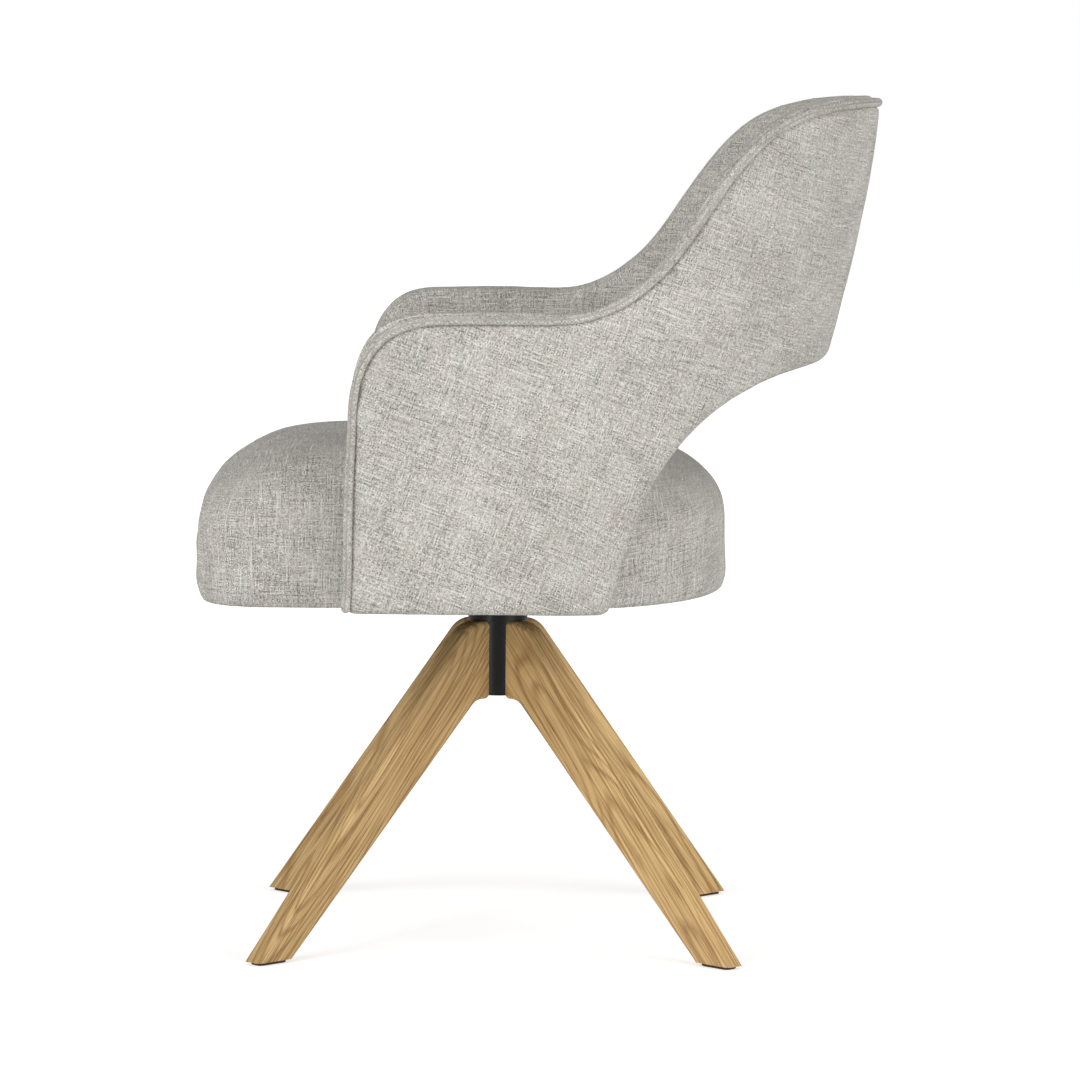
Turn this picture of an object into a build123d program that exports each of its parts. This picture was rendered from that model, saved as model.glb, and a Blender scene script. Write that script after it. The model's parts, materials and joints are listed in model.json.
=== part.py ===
"""Swivel dining chair: an upholstered seat and wrap-round back that turn on a four-legged oak base.

Millimetres. +Z is up and -Y is the front, where the sitter's knees are. The origin lies on the
floor, under the middle of the chair's box, so the swivel axis stands a little in front of it.
Each piece is written to parts/ under its own name.
"""

from build123d import *
import os
from math import cos, hypot, radians, sin, tan

os.makedirs("parts", exist_ok=True)

# ---------------------------------------------------------------- driving dimensions
# Whole chair
overall_height = 820.0
seat_front = 290.0          # swivel axis to the front of the seat
seat_rear = 224.0           # swivel axis to the rear of the seat
back_rear = 367.0           # swivel axis to the rear of the back, at its top
underside = 340.0           # floor to the underside of the seat and the arms

# Wrap-round back and arms
arm_half_width = 295.0      # middle of the chair to the outside of an arm
arm_wall = 46.0             # thickness through padding, core and outer panel
arm_straight = 60.0         # the arms run straight to here, then bend round the back
arm_front = 141.0           # swivel axis to the front edge of an arm, at its foot
arm_front_lean = 4.5        # how far the front edge leans back up to the corner
arm_height = 619.0
arm_corner_run = 80.0       # front corner of the arm, seen from the side
arm_corner_drop = 100.0
arm_corner_power = 2.7      # 2 is an ellipse, more is squarer
arm_level_end = 45.0        # the level top of the arm ends here and the sweep begins
back_lean = 119.0           # how far the foot of the back's curve lies in front of its top
back_lean_power = 1.4
cutout_front = 104.0        # foot of the rear cut-out, at the underside
cutout_rear = 310.0
cutout_height = 564.0       # floor to the lower edge of the back
cutout_run_on = 12.0        # it still rises by this much past the back

# Sweep of the top edge from the arm to the top of the back, and the cut-out's edge, as shares of
# their run and rise.
sweep_shape = [(0.115, 0.012), (0.208, 0.0775), (0.32, 0.225), (0.419, 0.443),
               (0.534, 0.706), (0.658, 0.886), (0.845, 0.985)]
cutout_shape = [(0.0626, 0.2326), (0.2568, 0.6295), (0.4272, 0.7996), (0.6553, 0.9286)]

crest_inner_round = 20.0
crest_outer_round = 8.0
cutout_inner_round = 16.0
cutout_outer_round = 14.0
foot_round = 6.0

panel_thickness = 8.0       # outer panel: cloth on thin wadding
core_thickness = 10.0       # moulded plywood core
core_edge = 18.0            # padding beyond the core's edges
core_foot = 12.0
piping_radius = 4.5
piping_depth = 2.0          # the piping's top lies this far under the crest
piping_proud = 3.0          # and this far out of the cloth
piping_drop = 1.5           # its ends show under the arms
piping_run = 38.0           # length of each of the piping's runs

# Seat pad
seat_gap = 2.0              # pad to the inside of the arms
seat_straight = 40.0
seat_bulge = 12.0           # the front edge bows out by this much
seat_corner = 68.0
seat_widest = 405.0         # floor to the widest part of the pad
seat_crown = 488.5
crown_run = 140.0           # how far the top rounds over before it is level
crown_power = 2.4
side_crown_share = 0.7      # the sides round over less than the front and rear
seat_tuck = 4.0             # how far the sides draw in at the underside
seat_foot_round = 10.0
cover_thickness = 3.0

# Seat board, rails and dust cover
hem_thickness = 1.5         # cover folded under the board, and the dust cover inside it
hem_width = 30.0
board_inset = 12.0
board_thickness = 15.0
rail_thickness = 24.0
rail_height = 35.0
rail_front = 120.0
rail_rear = 70.0
rail_screw_radius = 2.5
rail_screw_length = 40.0
rail_screw_head = 5.0
rail_screw_head_height = 2.5
rail_screw_taper = 45.0

# Arm blocks and the bolts that hold the arms to the rails
block_cover = 3.0           # padding over the block's inner face
block_height = 40.0
block_front = 110.0
block_rear_margin = 2.0     # the block ends this far before the arm starts to bend
arm_bolt_pitch = 66.0
arm_bolt_count = 3
bolt_radius = 4.0
bolt_head_radius = 7.0
bolt_head_height = 4.4
bolt_socket = 2.5
bolt_hole_clearance = 0.25
bolt_end = 2.0              # the bolt's end stands out of its tee nut by this much
nut_barrel_radius = 5.5
nut_barrel_length = 8.0
nut_flange_radius = 10.0
nut_flange_thickness = 1.5

# Swivel
plate_size = 180.0
plate_thickness = 4.0
plate_corner = 18.0
plate_screw_pitch = 140.0
spindle_radius = 12.5
spindle_boss_radius = 22.0
spindle_end = 3.0           # spindle's lower end above the tube's
thrust_clearance = 0.1
running_clearance = 0.05
thrust_washer_radius = 27.0
thrust_washer_thickness = 2.0
circlip_thickness = 1.5
circlip_radius = 16.0
circlip_gap = 8.0
groove_depth = 1.0
groove_above_end = 2.5
retaining_washer_radius = 18.0
retaining_washer_thickness = 2.0
flange_bore = 14.5
thrust_washer_bore = 13.5
spindle_chamfer = 1.0
bush_end_clearance = 0.3
upper_bush_length = 20.0
lower_bush_length = 14.0

# Base
tube_radius = 25.0
tube_wall = 3.0
tube_bottom = 233.0
hub_top = 306.0             # floor to the top of the legs and the tube
flange_radius = 29.0
flange_thickness = 8.0
flange_edge = 1.5

# Legs, in the plane through the swivel axis
leg_thickness = 22.0
leg_underside = 229.5       # floor to the level underside at the tube
leg_top_knee = 46.1         # swivel axis to where the two upper faces would meet
leg_top_foot = 323.0
leg_low_knee = 36.8
leg_low_foot = 278.0
leg_top_round = 38.0
leg_low_round = 20.0
leg_edge_round = 5.0
leg_angles = {"front_left": -45.0, "rear_left": 45.0, "rear_right": 135.0, "front_right": 225.0}

tongue_thickness = 8.0
tongue_reach = 64.0
tongue_bottom = 244.0
tongue_top = 276.0
leg_screw_places = (38.0, 55.0)
leg_screw_radius = 2.5
leg_screw_bite = 14.0
leg_screw_head = 4.5
leg_screw_head_height = 5.0
leg_screw_socket = 2.0
leg_screw_depth = 6.0       # screw heads lie this deep in the leg's underside
leg_screw_clearance = 0.3

glide_thickness = 3.0
glide_length = 35.0
glide_width = 15.5
glide_corner = 5.0
glide_edge = 0.6
glide_pin_radius = 1.5
glide_pin_skin = 1.4
glide_pin_bite = 15.0

# ---------------------------------------------------------------- places worked out from them
axis_y = (seat_front - back_rear - piping_proud) / 2
arm_inside = arm_half_width - arm_wall
seat_half_width = arm_inside - seat_gap
board_bottom = underside + hem_thickness
board_top = board_bottom + board_thickness
rail_outside = seat_half_width - board_inset
core_outside = arm_half_width - panel_thickness
core_inside = core_outside - core_thickness
block_rear = arm_straight - block_rear_margin
bolt_middle = (block_rear - block_front) / 2
bolt_level = board_top + rail_height / 2
piping_inset = piping_depth + piping_radius
flange_top = hub_top + flange_thickness
washer_top = flange_top + thrust_washer_thickness
plate_bottom = underside - plate_thickness
spindle_bottom = tube_bottom + spindle_end
circlip_bottom = spindle_bottom + groove_above_end
retaining_washer_bottom = circlip_bottom + circlip_thickness
lower_bush_bottom = retaining_washer_bottom + retaining_washer_thickness + bush_end_clearance
upper_bush_bottom = hub_top - upper_bush_length
tube_bore = tube_radius - tube_wall
foot_middle = (leg_top_foot + leg_low_foot) / 2
seam_inset = piping_inset
rail_inside = rail_outside - rail_thickness
bolt_tip = core_outside + nut_flange_thickness + bolt_end
far = 450.0                 # reaches past every edge of the chair
wall_run_on = 20.0          # the wall's side view runs on below the arms, where it is cut level
corner_share = 0.45         # of a run, for the arc at a corner of the piping

side_plane = Plane((0, axis_y, 0), x_dir=(0, 1, 0), z_dir=(1, 0, 0))


def level(height):
    """Level plane at a height over the floor, centred on the swivel axis."""
    return Plane((0, axis_y, height))


def radial(angle):
    """Upright plane from the swivel axis outwards, at an angle in plan."""
    turn = radians(angle)
    outwards = (cos(turn), sin(turn), 0)
    return Plane((0, axis_y, 0), x_dir=outwards, z_dir=(sin(turn), -cos(turn), 0))


def write(piece, name):
    """Label a finished piece and write it."""
    piece.part.label = name
    export_step(piece.part, f"parts/{name}.step")


# ---------------------------------------------------------------- shape of the back and arms
def back_reach(height):
    """Swivel axis to the outside of the back at a height: it leans, more so lower down."""
    drop = max(overall_height - height, 0) / (overall_height - underside)
    return back_rear - back_lean * drop ** back_lean_power


def wall_plan(height, inset, front):
    """Filled plan of the horseshoe at a height, drawn in from the outside by inset."""
    half = arm_half_width - inset
    deep = back_reach(height) - inset - arm_straight
    with BuildSketch(level(height)) as plan:
        with BuildLine():
            Polyline((-half, arm_straight), (-half, -front), (half, -front), (half, arm_straight))
            EllipticalCenterArc((0, arm_straight), half, deep, start_angle=0, arc_size=90)
            EllipticalCenterArc((0, arm_straight), half, deep, start_angle=90, arc_size=90)
        make_face()
    return plan.sketch


def wall_sections(inset, margin):
    """Plans of the horseshoe from under the arms to over the back, for a loft."""
    lowest = underside - 10
    highest = overall_height + 10
    count = 6
    heights = [lowest + (highest - lowest) * step / count for step in range(count + 1)]
    return [wall_plan(height, inset, arm_front + margin) for height in heights]


def crest_points():
    """The top edge from the side: up the arm's front, round its corner, along and up the sweep."""
    top_of_front = arm_height - arm_corner_drop
    front = -arm_front + arm_front_lean
    points = [(-arm_front, underside), ((front - arm_front) / 2, (underside + top_of_front) / 2)]
    for turn in (0, 22.5, 45, 67.5, 90):
        along = cos(radians(turn)) ** (2 / arm_corner_power) if turn < 90 else 0
        up = sin(radians(turn)) ** (2 / arm_corner_power)
        points.append((front + arm_corner_run * (1 - along), top_of_front + arm_corner_drop * up))
    points.append((arm_level_end, arm_height))
    run = back_rear - arm_level_end
    rise = overall_height - arm_height
    points += [(arm_level_end + run * a, arm_height + rise * b) for a, b in sweep_shape]
    points += [(back_rear, overall_height), (far, overall_height)]
    return points


def cutout_points():
    """The rear cut-out's edge from the side, from the arm's foot up to under the back."""
    run = cutout_rear - cutout_front
    rise = cutout_height - underside
    points = [(cutout_front, underside)]
    points += [(cutout_front + run * a, underside + rise * b) for a, b in cutout_shape]
    points += [(cutout_rear, cutout_height), (far, cutout_height + cutout_run_on)]
    return points


def drawn_in(points, inset, count=28):
    """Points on a smooth line through the given ones, moved to its right by inset."""
    line = Spline(*points)
    moved = []
    for step in range(count + 1):
        place = line.position_at(step / count)
        along = line.tangent_at(step / count)
        moved.append((place.X + along.Y * inset, place.Y - along.X * inset))
    return moved


def wall_profile(crest, cutout):
    """Side view of the wall between its top edge and the cut-out, run on below the arm's foot."""
    low = underside - wall_run_on
    with BuildSketch(side_plane) as profile:
        with BuildLine():
            Spline(*crest)
            Line(crest[-1], cutout[-1])
            Spline(*cutout)
            Polyline(cutout[0], (cutout[0][0], low), (crest[0][0], low), crest[0])
        make_face()
    return profile.sketch


def on_outside(edge):
    """True for an edge that lies on the outside of the wall rather than the inside."""
    middle = edge.position_at(0.5)
    deep = back_reach(middle.Z) - arm_straight
    behind = max(middle.Y - axis_y - arm_straight, 0)
    return hypot(middle.X / arm_half_width, behind / deep) > 1 - arm_wall / arm_half_width / 2


def rim_edges(piece, top, outside):
    """Long edges of the wall's top rim, or of its cut-out, on one of its two sides."""
    rims = piece.faces().filter_by(GeomType.EXTRUSION).sort_by(Axis.Z)
    faces = rims[-2:] if top else rims[:2]
    edges = faces.edges().filter_by(GeomType.BSPLINE).filter_by(lambda e: abs(e.center().X) > 1)
    return edges.filter_by(lambda e: on_outside(e) == outside)


# ---------------------------------------------------------------- back and arms
crest = crest_points()
cutout = cutout_points()

# The whole padded wall, which the pieces below divide among them.
with BuildPart() as wall:
    loft(wall_sections(0, far / 2))
    loft(wall_sections(arm_wall, far), mode=Mode.SUBTRACT)
    extrude(wall_profile(crest, cutout), amount=far, both=True, mode=Mode.INTERSECT)
    split(bisect_by=level(underside), keep=Keep.TOP)
    fillet(rim_edges(wall, top=True, outside=False), crest_inner_round)
    fillet(rim_edges(wall, top=True, outside=True), crest_outer_round)
    fillet(rim_edges(wall, top=False, outside=False), cutout_inner_round)
    fillet(rim_edges(wall, top=False, outside=True), cutout_outer_round)
    fillet(wall.faces().sort_by(Axis.Z)[:2].edges(), foot_round)

# The layer under the outside of the wall, as far up as the piping's seam.
with BuildPart() as panel_layer:
    loft(wall_sections(-panel_thickness, far / 2))
    loft(wall_sections(panel_thickness, far), mode=Mode.SUBTRACT)
    extrude(
        wall_profile(drawn_in(crest, seam_inset), drawn_in(cutout, arm_wall)),
        amount=far,
        both=True,
        mode=Mode.INTERSECT,
    )

# Moulded plywood core, buried in the padding, before it is bored for the bolts.
with BuildPart() as core_form:
    loft(wall_sections(panel_thickness, far / 2))
    loft(wall_sections(panel_thickness + core_thickness, far), mode=Mode.SUBTRACT)
    extrude(
        wall_profile(drawn_in(crest, core_edge), drawn_in(cutout, -core_edge)),
        amount=far,
        both=True,
        mode=Mode.INTERSECT,
    )
    split(bisect_by=level(underside + core_foot), keep=Keep.TOP)


def seam_line():
    """Middle of the piping from the foot of one arm, over the back, to the foot of the other."""
    half = arm_half_width + piping_proud - piping_radius
    side = []
    for along, height in drawn_in(crest, piping_inset, count=400):
        deep = back_reach(height) + piping_proud - piping_radius - arm_straight
        behind = max(along - arm_straight, 0)
        if behind >= deep:
            break
        side.append(Vector(half * (1 - (behind / deep) ** 2) ** 0.5, axis_y + along, height))
    side[0] = Vector(half, side[0].Y, underside - piping_drop)
    middle = Vector(0, axis_y + arm_straight + deep, height)
    return side + [middle] + [Vector(-p.X, p.Y, p.Z) for p in reversed(side)]


def even_runs(points, run):
    """Points at even distances along a line of close points, about a run apart."""
    reached = [0.0]
    for before, after in zip(points, points[1:]):
        reached.append(reached[-1] + (after - before).length)
    count = round(reached[-1] / run)
    even = []
    for step in range(count + 1):
        wanted = reached[-1] * step / count
        index = max(i for i, length in enumerate(reached[:-1]) if length <= wanted)
        share = (wanted - reached[index]) / (reached[index + 1] - reached[index])
        even.append(points[index] + (points[index + 1] - points[index]) * share)
    return even


def corner_radii(points):
    """Largest radii that let each corner's arc meet the next one's on the run between them."""
    radii = []
    for before, corner, after in zip(points, points[1:], points[2:]):
        turn = radians((corner - before).get_angle(after - corner))
        shorter = min((corner - before).length, (after - corner).length)
        radii.append(corner_share * shorter / tan(turn / 2))
    return radii


# Piping in the seam between the outer panel and the inner cover.
seam = even_runs(seam_line(), piping_run)
with BuildPart() as piping:
    with BuildLine() as seam_path:
        FilletPolyline(*seam, radius=corner_radii(seam))
    with BuildSketch(Plane(origin=seam_path.line @ 0, z_dir=seam_path.line % 0)):
        Circle(piping_radius)
    sweep()

# Bolts through the seat's rails, the seat cover and the arms' padding into the core.
arm_bolt_places = [
    bolt_middle + arm_bolt_pitch * (place - (arm_bolt_count - 1) / 2) for place in range(arm_bolt_count)
]
with BuildPart() as arm_bolts:
    for along in arm_bolt_places:
        seat = Plane((rail_inside, axis_y + along, bolt_level), z_dir=(1, 0, 0))
        with BuildSketch(seat):
            Circle(bolt_head_radius)
        extrude(amount=-bolt_head_height)
        with BuildSketch(seat):
            Circle(bolt_radius)
        extrude(amount=bolt_tip - rail_inside)
        with BuildSketch(seat.offset(-bolt_head_height)):
            RegularPolygon(bolt_socket, 6, major_radius=False)
        extrude(amount=bolt_socket, mode=Mode.SUBTRACT)
    mirror(about=Plane.YZ)

# The bores that the bolts pass through, from the rails to the core.
with BuildPart() as bolt_bores:
    for along in arm_bolt_places:
        with BuildSketch(Plane((rail_inside, axis_y + along, bolt_level), z_dir=(1, 0, 0))):
            Circle(bolt_radius + bolt_hole_clearance)
        extrude(amount=core_inside - rail_inside)
    mirror(about=Plane.YZ)

with BuildPart() as arm_tee_nuts:
    for along in arm_bolt_places:
        seat = Plane((core_outside, axis_y + along, bolt_level), z_dir=(1, 0, 0))
        with BuildSketch(seat):
            Circle(nut_flange_radius)
        extrude(amount=nut_flange_thickness)
        with BuildSketch(seat):
            Circle(nut_barrel_radius)
        extrude(amount=-nut_barrel_length)
    mirror(about=Plane.YZ)
    add(arm_bolts.part, mode=Mode.SUBTRACT)

# Wood blocks on the core inside the arms, which the bolts pull against the seat's sides.
with BuildPart() as arm_block_left:
    with BuildSketch(Plane((arm_inside + block_cover, axis_y, 0), x_dir=(0, 1, 0), z_dir=(1, 0, 0))):
        with Locations((bolt_middle, bolt_level)):
            Rectangle(block_rear + block_front, block_height)
    extrude(amount=core_inside - arm_inside - block_cover)
    add(bolt_bores.part, mode=Mode.SUBTRACT)

with BuildPart() as arm_block_right:
    add(arm_block_left.part)
    mirror(about=Plane.YZ, mode=Mode.REPLACE)

with BuildPart() as outer_panel:
    add(wall.part)
    add(panel_layer.part, mode=Mode.INTERSECT)
    add(piping.part, mode=Mode.SUBTRACT)
    add(arm_tee_nuts.part, mode=Mode.SUBTRACT)
    add(arm_bolts.part, mode=Mode.SUBTRACT)

with BuildPart() as inner_padding:
    add(wall.part)
    add(panel_layer.part, mode=Mode.SUBTRACT)
    add(core_form.part, mode=Mode.SUBTRACT)
    add(piping.part, mode=Mode.SUBTRACT)
    add(arm_block_left.part, mode=Mode.SUBTRACT)
    add(arm_block_right.part, mode=Mode.SUBTRACT)
    add(bolt_bores.part, mode=Mode.SUBTRACT)

with BuildPart() as back_core:
    add(core_form.part)
    add(arm_tee_nuts.part, mode=Mode.SUBTRACT)
    add(arm_bolts.part, mode=Mode.SUBTRACT)

write(back_core, "back_core")
write(inner_padding, "inner_padding")
write(outer_panel, "outer_panel")
write(piping, "piping")
write(arm_block_left, "arm_block_left")
write(arm_block_right, "arm_block_right")
write(arm_bolts, "arm_bolts")
write(arm_tee_nuts, "arm_tee_nuts")


# ---------------------------------------------------------------- seat
def pad_plan(height, front_in, side_in):
    """Plan of the seat pad at a height, drawn in at the front and rear and at the sides."""
    half = seat_half_width - side_in
    front = seat_front - front_in
    deep = seat_rear - front_in - seat_straight
    with BuildSketch(level(height)) as plan:
        with BuildLine():
            ThreePointArc((-half, seat_bulge - front), (0, -front), (half, seat_bulge - front))
            Line((half, seat_bulge - front), (half, seat_straight))
            EllipticalCenterArc((0, seat_straight), half, deep, start_angle=0, arc_size=90)
            EllipticalCenterArc((0, seat_straight), half, deep, start_angle=90, arc_size=90)
            Line((-half, seat_straight), (-half, seat_bulge - front))
        make_face()
        fillet(plan.vertices().sort_by(Axis.Y)[:2], seat_corner)
    return plan.sketch


def pad_sections(skin, foot):
    """Plans of the pad, skin deep under its cover: drawn-in sides, then the crown's round."""
    sections = []
    for height in (foot, (foot + seat_widest) / 2, seat_widest):
        tuck = seat_tuck * ((seat_widest - height) / (seat_widest - underside)) ** 2
        sections.append(pad_plan(height, skin + tuck, skin + tuck))
    rise = seat_crown - skin - seat_widest
    for turn in (20, 38, 54, 67, 78, 90):
        up = sin(radians(turn)) ** (2 / crown_power)
        over = 1 - abs(cos(radians(turn))) ** (2 / crown_power)
        front_in = skin + crown_run * over
        sections.append(pad_plan(seat_widest + rise * up, front_in, skin + crown_run * side_crown_share * over))
    return sections


def slab(bottom, thickness, inset):
    """A level slab with the seat's plan, drawn in all round."""
    with BuildPart() as piece:
        extrude(pad_plan(bottom, inset, inset), amount=thickness)
    return piece.part


plate_screw_places = GridLocations(plate_screw_pitch, plate_screw_pitch, 2, 2)

# Button-head bolts that hold the swivel plate to the tee nuts in the board.
with BuildPart() as plate_bolts:
    with BuildSketch(level(plate_bottom)), plate_screw_places:
        Circle(bolt_head_radius)
    extrude(amount=-bolt_head_height)
    with BuildSketch(level(plate_bottom)), plate_screw_places:
        Circle(bolt_radius)
    extrude(amount=board_top + nut_flange_thickness - plate_bottom)
    with BuildSketch(level(plate_bottom - bolt_head_height)), plate_screw_places:
        RegularPolygon(bolt_socket, 6, major_radius=False)
    extrude(amount=bolt_socket, mode=Mode.SUBTRACT)

with BuildPart() as seat_tee_nuts:
    with BuildSketch(level(board_top)), plate_screw_places:
        Circle(nut_flange_radius)
    extrude(amount=nut_flange_thickness)
    with BuildSketch(level(board_top)), plate_screw_places:
        Circle(nut_barrel_radius)
    extrude(amount=-nut_barrel_length)
    add(plate_bolts.part, mode=Mode.SUBTRACT)

# Countersunk screws up through the board into the rails, midway between the arms' bolts.
with BuildPart() as rail_screws:
    middle = rail_outside - rail_thickness / 2
    for side in (middle, -middle):
        for before, after in zip(arm_bolt_places, arm_bolt_places[1:]):
            place = (side, axis_y + (before + after) / 2, board_bottom)
            with BuildSketch(Plane(place)):
                Circle(rail_screw_head)
            extrude(amount=rail_screw_head_height, taper=rail_screw_taper)
            with BuildSketch(Plane(place)):
                Circle(rail_screw_radius)
            extrude(amount=rail_screw_length)

with BuildPart() as side_rail_left:
    with BuildSketch(level(board_top)):
        with Locations((rail_outside - rail_thickness / 2, (rail_rear - rail_front) / 2)):
            Rectangle(rail_thickness, rail_front + rail_rear)
    extrude(amount=rail_height)
    add(bolt_bores.part, mode=Mode.SUBTRACT)
    add(rail_screws.part, mode=Mode.SUBTRACT)

with BuildPart() as side_rail_right:
    add(side_rail_left.part)
    mirror(about=Plane.YZ, mode=Mode.REPLACE)

with BuildPart() as seat_board:
    add(slab(board_bottom, board_thickness, board_inset))
    with BuildSketch(level(board_bottom)), plate_screw_places:
        Circle(bolt_radius + bolt_hole_clearance)
    extrude(amount=board_thickness, mode=Mode.SUBTRACT)
    add(seat_tee_nuts.part, mode=Mode.SUBTRACT)
    add(rail_screws.part, mode=Mode.SUBTRACT)

with BuildPart() as dust_cover:
    add(slab(underside, hem_thickness, board_inset + hem_width))
    with BuildSketch(level(underside)), plate_screw_places:
        Circle(bolt_radius + bolt_hole_clearance)
    extrude(amount=hem_thickness, mode=Mode.SUBTRACT)

# Foam inside the cover, over and round the board and the rails.
with BuildPart() as foam_form:
    loft(pad_sections(cover_thickness, board_bottom))
    fillet(foam_form.faces().sort_by(Axis.Z)[0].edges(), seat_foot_round - cover_thickness)

with BuildPart() as seat_foam:
    add(foam_form.part)
    add(slab(board_bottom, board_thickness, board_inset), mode=Mode.SUBTRACT)
    for rail in (side_rail_left, side_rail_right):
        add(rail.part, mode=Mode.SUBTRACT)
    add(bolt_bores.part, mode=Mode.SUBTRACT)
    add(arm_bolts.part, mode=Mode.SUBTRACT)
    add(seat_tee_nuts.part, mode=Mode.SUBTRACT)
    add(plate_bolts.part, mode=Mode.SUBTRACT)
    add(rail_screws.part, mode=Mode.SUBTRACT)

with BuildPart() as seat_cover:
    loft(pad_sections(0, underside))
    fillet(seat_cover.faces().sort_by(Axis.Z)[0].edges(), seat_foot_round)
    add(foam_form.part, mode=Mode.SUBTRACT)
    add(slab(underside, hem_thickness, board_inset + hem_width), mode=Mode.SUBTRACT)
    add(bolt_bores.part, mode=Mode.SUBTRACT)

write(plate_bolts, "plate_bolts")
write(seat_tee_nuts, "seat_tee_nuts")
write(rail_screws, "rail_screws")
write(side_rail_left, "side_rail_left")
write(side_rail_right, "side_rail_right")
write(seat_board, "seat_board")
write(dust_cover, "dust_cover")
write(seat_foam, "seat_foam")
write(seat_cover, "seat_cover")

# ---------------------------------------------------------------- swivel
with BuildPart() as swivel_plate:
    with BuildSketch(level(plate_bottom)):
        RectangleRounded(plate_size, plate_size, plate_corner)
        with plate_screw_places:
            Circle(bolt_radius + bolt_hole_clearance, mode=Mode.SUBTRACT)
    extrude(amount=plate_thickness)

# Turned spindle: a shaft in the bushes and a boss that rides on the thrust washer, welded above.
with BuildPart() as spindle:
    with BuildSketch(level(spindle_bottom)):
        Circle(spindle_radius)
    extrude(amount=plate_bottom - spindle_bottom)
    chamfer(spindle.faces().sort_by(Axis.Z)[0].edges(), spindle_chamfer)
    with BuildSketch(level(washer_top + thrust_clearance)):
        Circle(spindle_boss_radius)
    extrude(amount=plate_bottom - washer_top - thrust_clearance)
    with BuildSketch(level(circlip_bottom)):
        Circle(spindle_radius)
        Circle(spindle_radius - groove_depth, mode=Mode.SUBTRACT)
    extrude(amount=circlip_thickness, mode=Mode.SUBTRACT)

with BuildPart() as circlip:
    with BuildSketch(level(circlip_bottom)):
        Circle(circlip_radius)
        Circle(spindle_radius - groove_depth, mode=Mode.SUBTRACT)
        with Locations((0, circlip_radius)):
            Rectangle(circlip_gap, 2 * circlip_radius, mode=Mode.SUBTRACT)
    extrude(amount=circlip_thickness)


def ring(bottom, thickness, radius, bore):
    """A level ring round the swivel axis."""
    with BuildPart() as piece:
        with BuildSketch(level(bottom)):
            Circle(radius)
            Circle(bore, mode=Mode.SUBTRACT)
        extrude(amount=thickness)
    return piece


bush_bore = spindle_radius + running_clearance
retaining_washer = ring(
    retaining_washer_bottom, retaining_washer_thickness, retaining_washer_radius, spindle_radius
)
lower_bush = ring(lower_bush_bottom, lower_bush_length, tube_bore, bush_bore)
upper_bush = ring(upper_bush_bottom, upper_bush_length, tube_bore, bush_bore)
thrust_washer = ring(flange_top, thrust_washer_thickness, thrust_washer_radius, thrust_washer_bore)
centre_tube = ring(tube_bottom, hub_top - tube_bottom, tube_radius, tube_bore)

with BuildPart() as hub_flange:
    add(ring(hub_top, flange_thickness, flange_radius, flange_bore).part)
    chamfer(hub_flange.faces().sort_by(Axis.Z)[-1].edges().sort_by(SortBy.RADIUS)[-1], flange_edge)

write(swivel_plate, "swivel_plate")
write(spindle, "spindle")
write(circlip, "circlip")
write(retaining_washer, "retaining_washer")
write(lower_bush, "lower_bush")
write(upper_bush, "upper_bush")
write(thrust_washer, "thrust_washer")
write(centre_tube, "centre_tube")
write(hub_flange, "hub_flange")

# ---------------------------------------------------------------- base
# The bore that the tube fills, run down past the legs' undersides.
with BuildPart() as hub_bore:
    with BuildSketch(level(hub_top)):
        Circle(tube_radius)
    extrude(amount=-hub_top)


def leg_underside_at(reach):
    """Height of a leg's lower face at a distance from the swivel axis."""
    fall = (leg_underside - glide_thickness) / (leg_low_foot - leg_low_knee)
    return leg_underside - fall * (reach - leg_low_knee)


# Steel tongues welded to the tube, one in each leg's slot, before they are bored for the screws.
with BuildPart() as tongue_form:
    for angle in leg_angles.values():
        with BuildSketch(radial(angle)):
            with Locations((tongue_reach / 2, (tongue_top + tongue_bottom) / 2)):
                Rectangle(tongue_reach, tongue_top - tongue_bottom)
        extrude(amount=tongue_thickness / 2, both=True)
    add(hub_bore.part, mode=Mode.SUBTRACT)

# Cap screws driven up through each leg into the edge of its tongue, and their counterbores.
with BuildPart() as leg_screws:
    for angle in leg_angles.values():
        for reach in leg_screw_places:
            head = leg_underside_at(reach) + leg_screw_depth
            place = radial(angle).from_local_coords((reach, head, 0))
            with BuildSketch(Plane(place)):
                Circle(leg_screw_head)
            extrude(amount=leg_screw_head_height)
            with BuildSketch(Plane(place)):
                Circle(leg_screw_radius)
            extrude(amount=tongue_bottom + leg_screw_bite - head)
            with BuildSketch(Plane(place)):
                RegularPolygon(leg_screw_socket, 6, major_radius=False)
            extrude(amount=leg_screw_socket, mode=Mode.SUBTRACT)

with BuildPart() as screw_bores:
    for angle in leg_angles.values():
        for reach in leg_screw_places:
            head = leg_underside_at(reach) + leg_screw_depth
            place = radial(angle).from_local_coords((reach, head + leg_screw_head_height, 0))
            with BuildSketch(Plane(place)):
                Circle(leg_screw_head + leg_screw_clearance)
            extrude(amount=-leg_underside)

with BuildPart() as glide_pins:
    for angle in leg_angles.values():
        place = radial(angle).from_local_coords((foot_middle, glide_pin_skin, 0))
        with BuildSketch(Plane(place)):
            Circle(glide_pin_radius)
        extrude(amount=glide_thickness + glide_pin_bite - glide_pin_skin)

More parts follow.
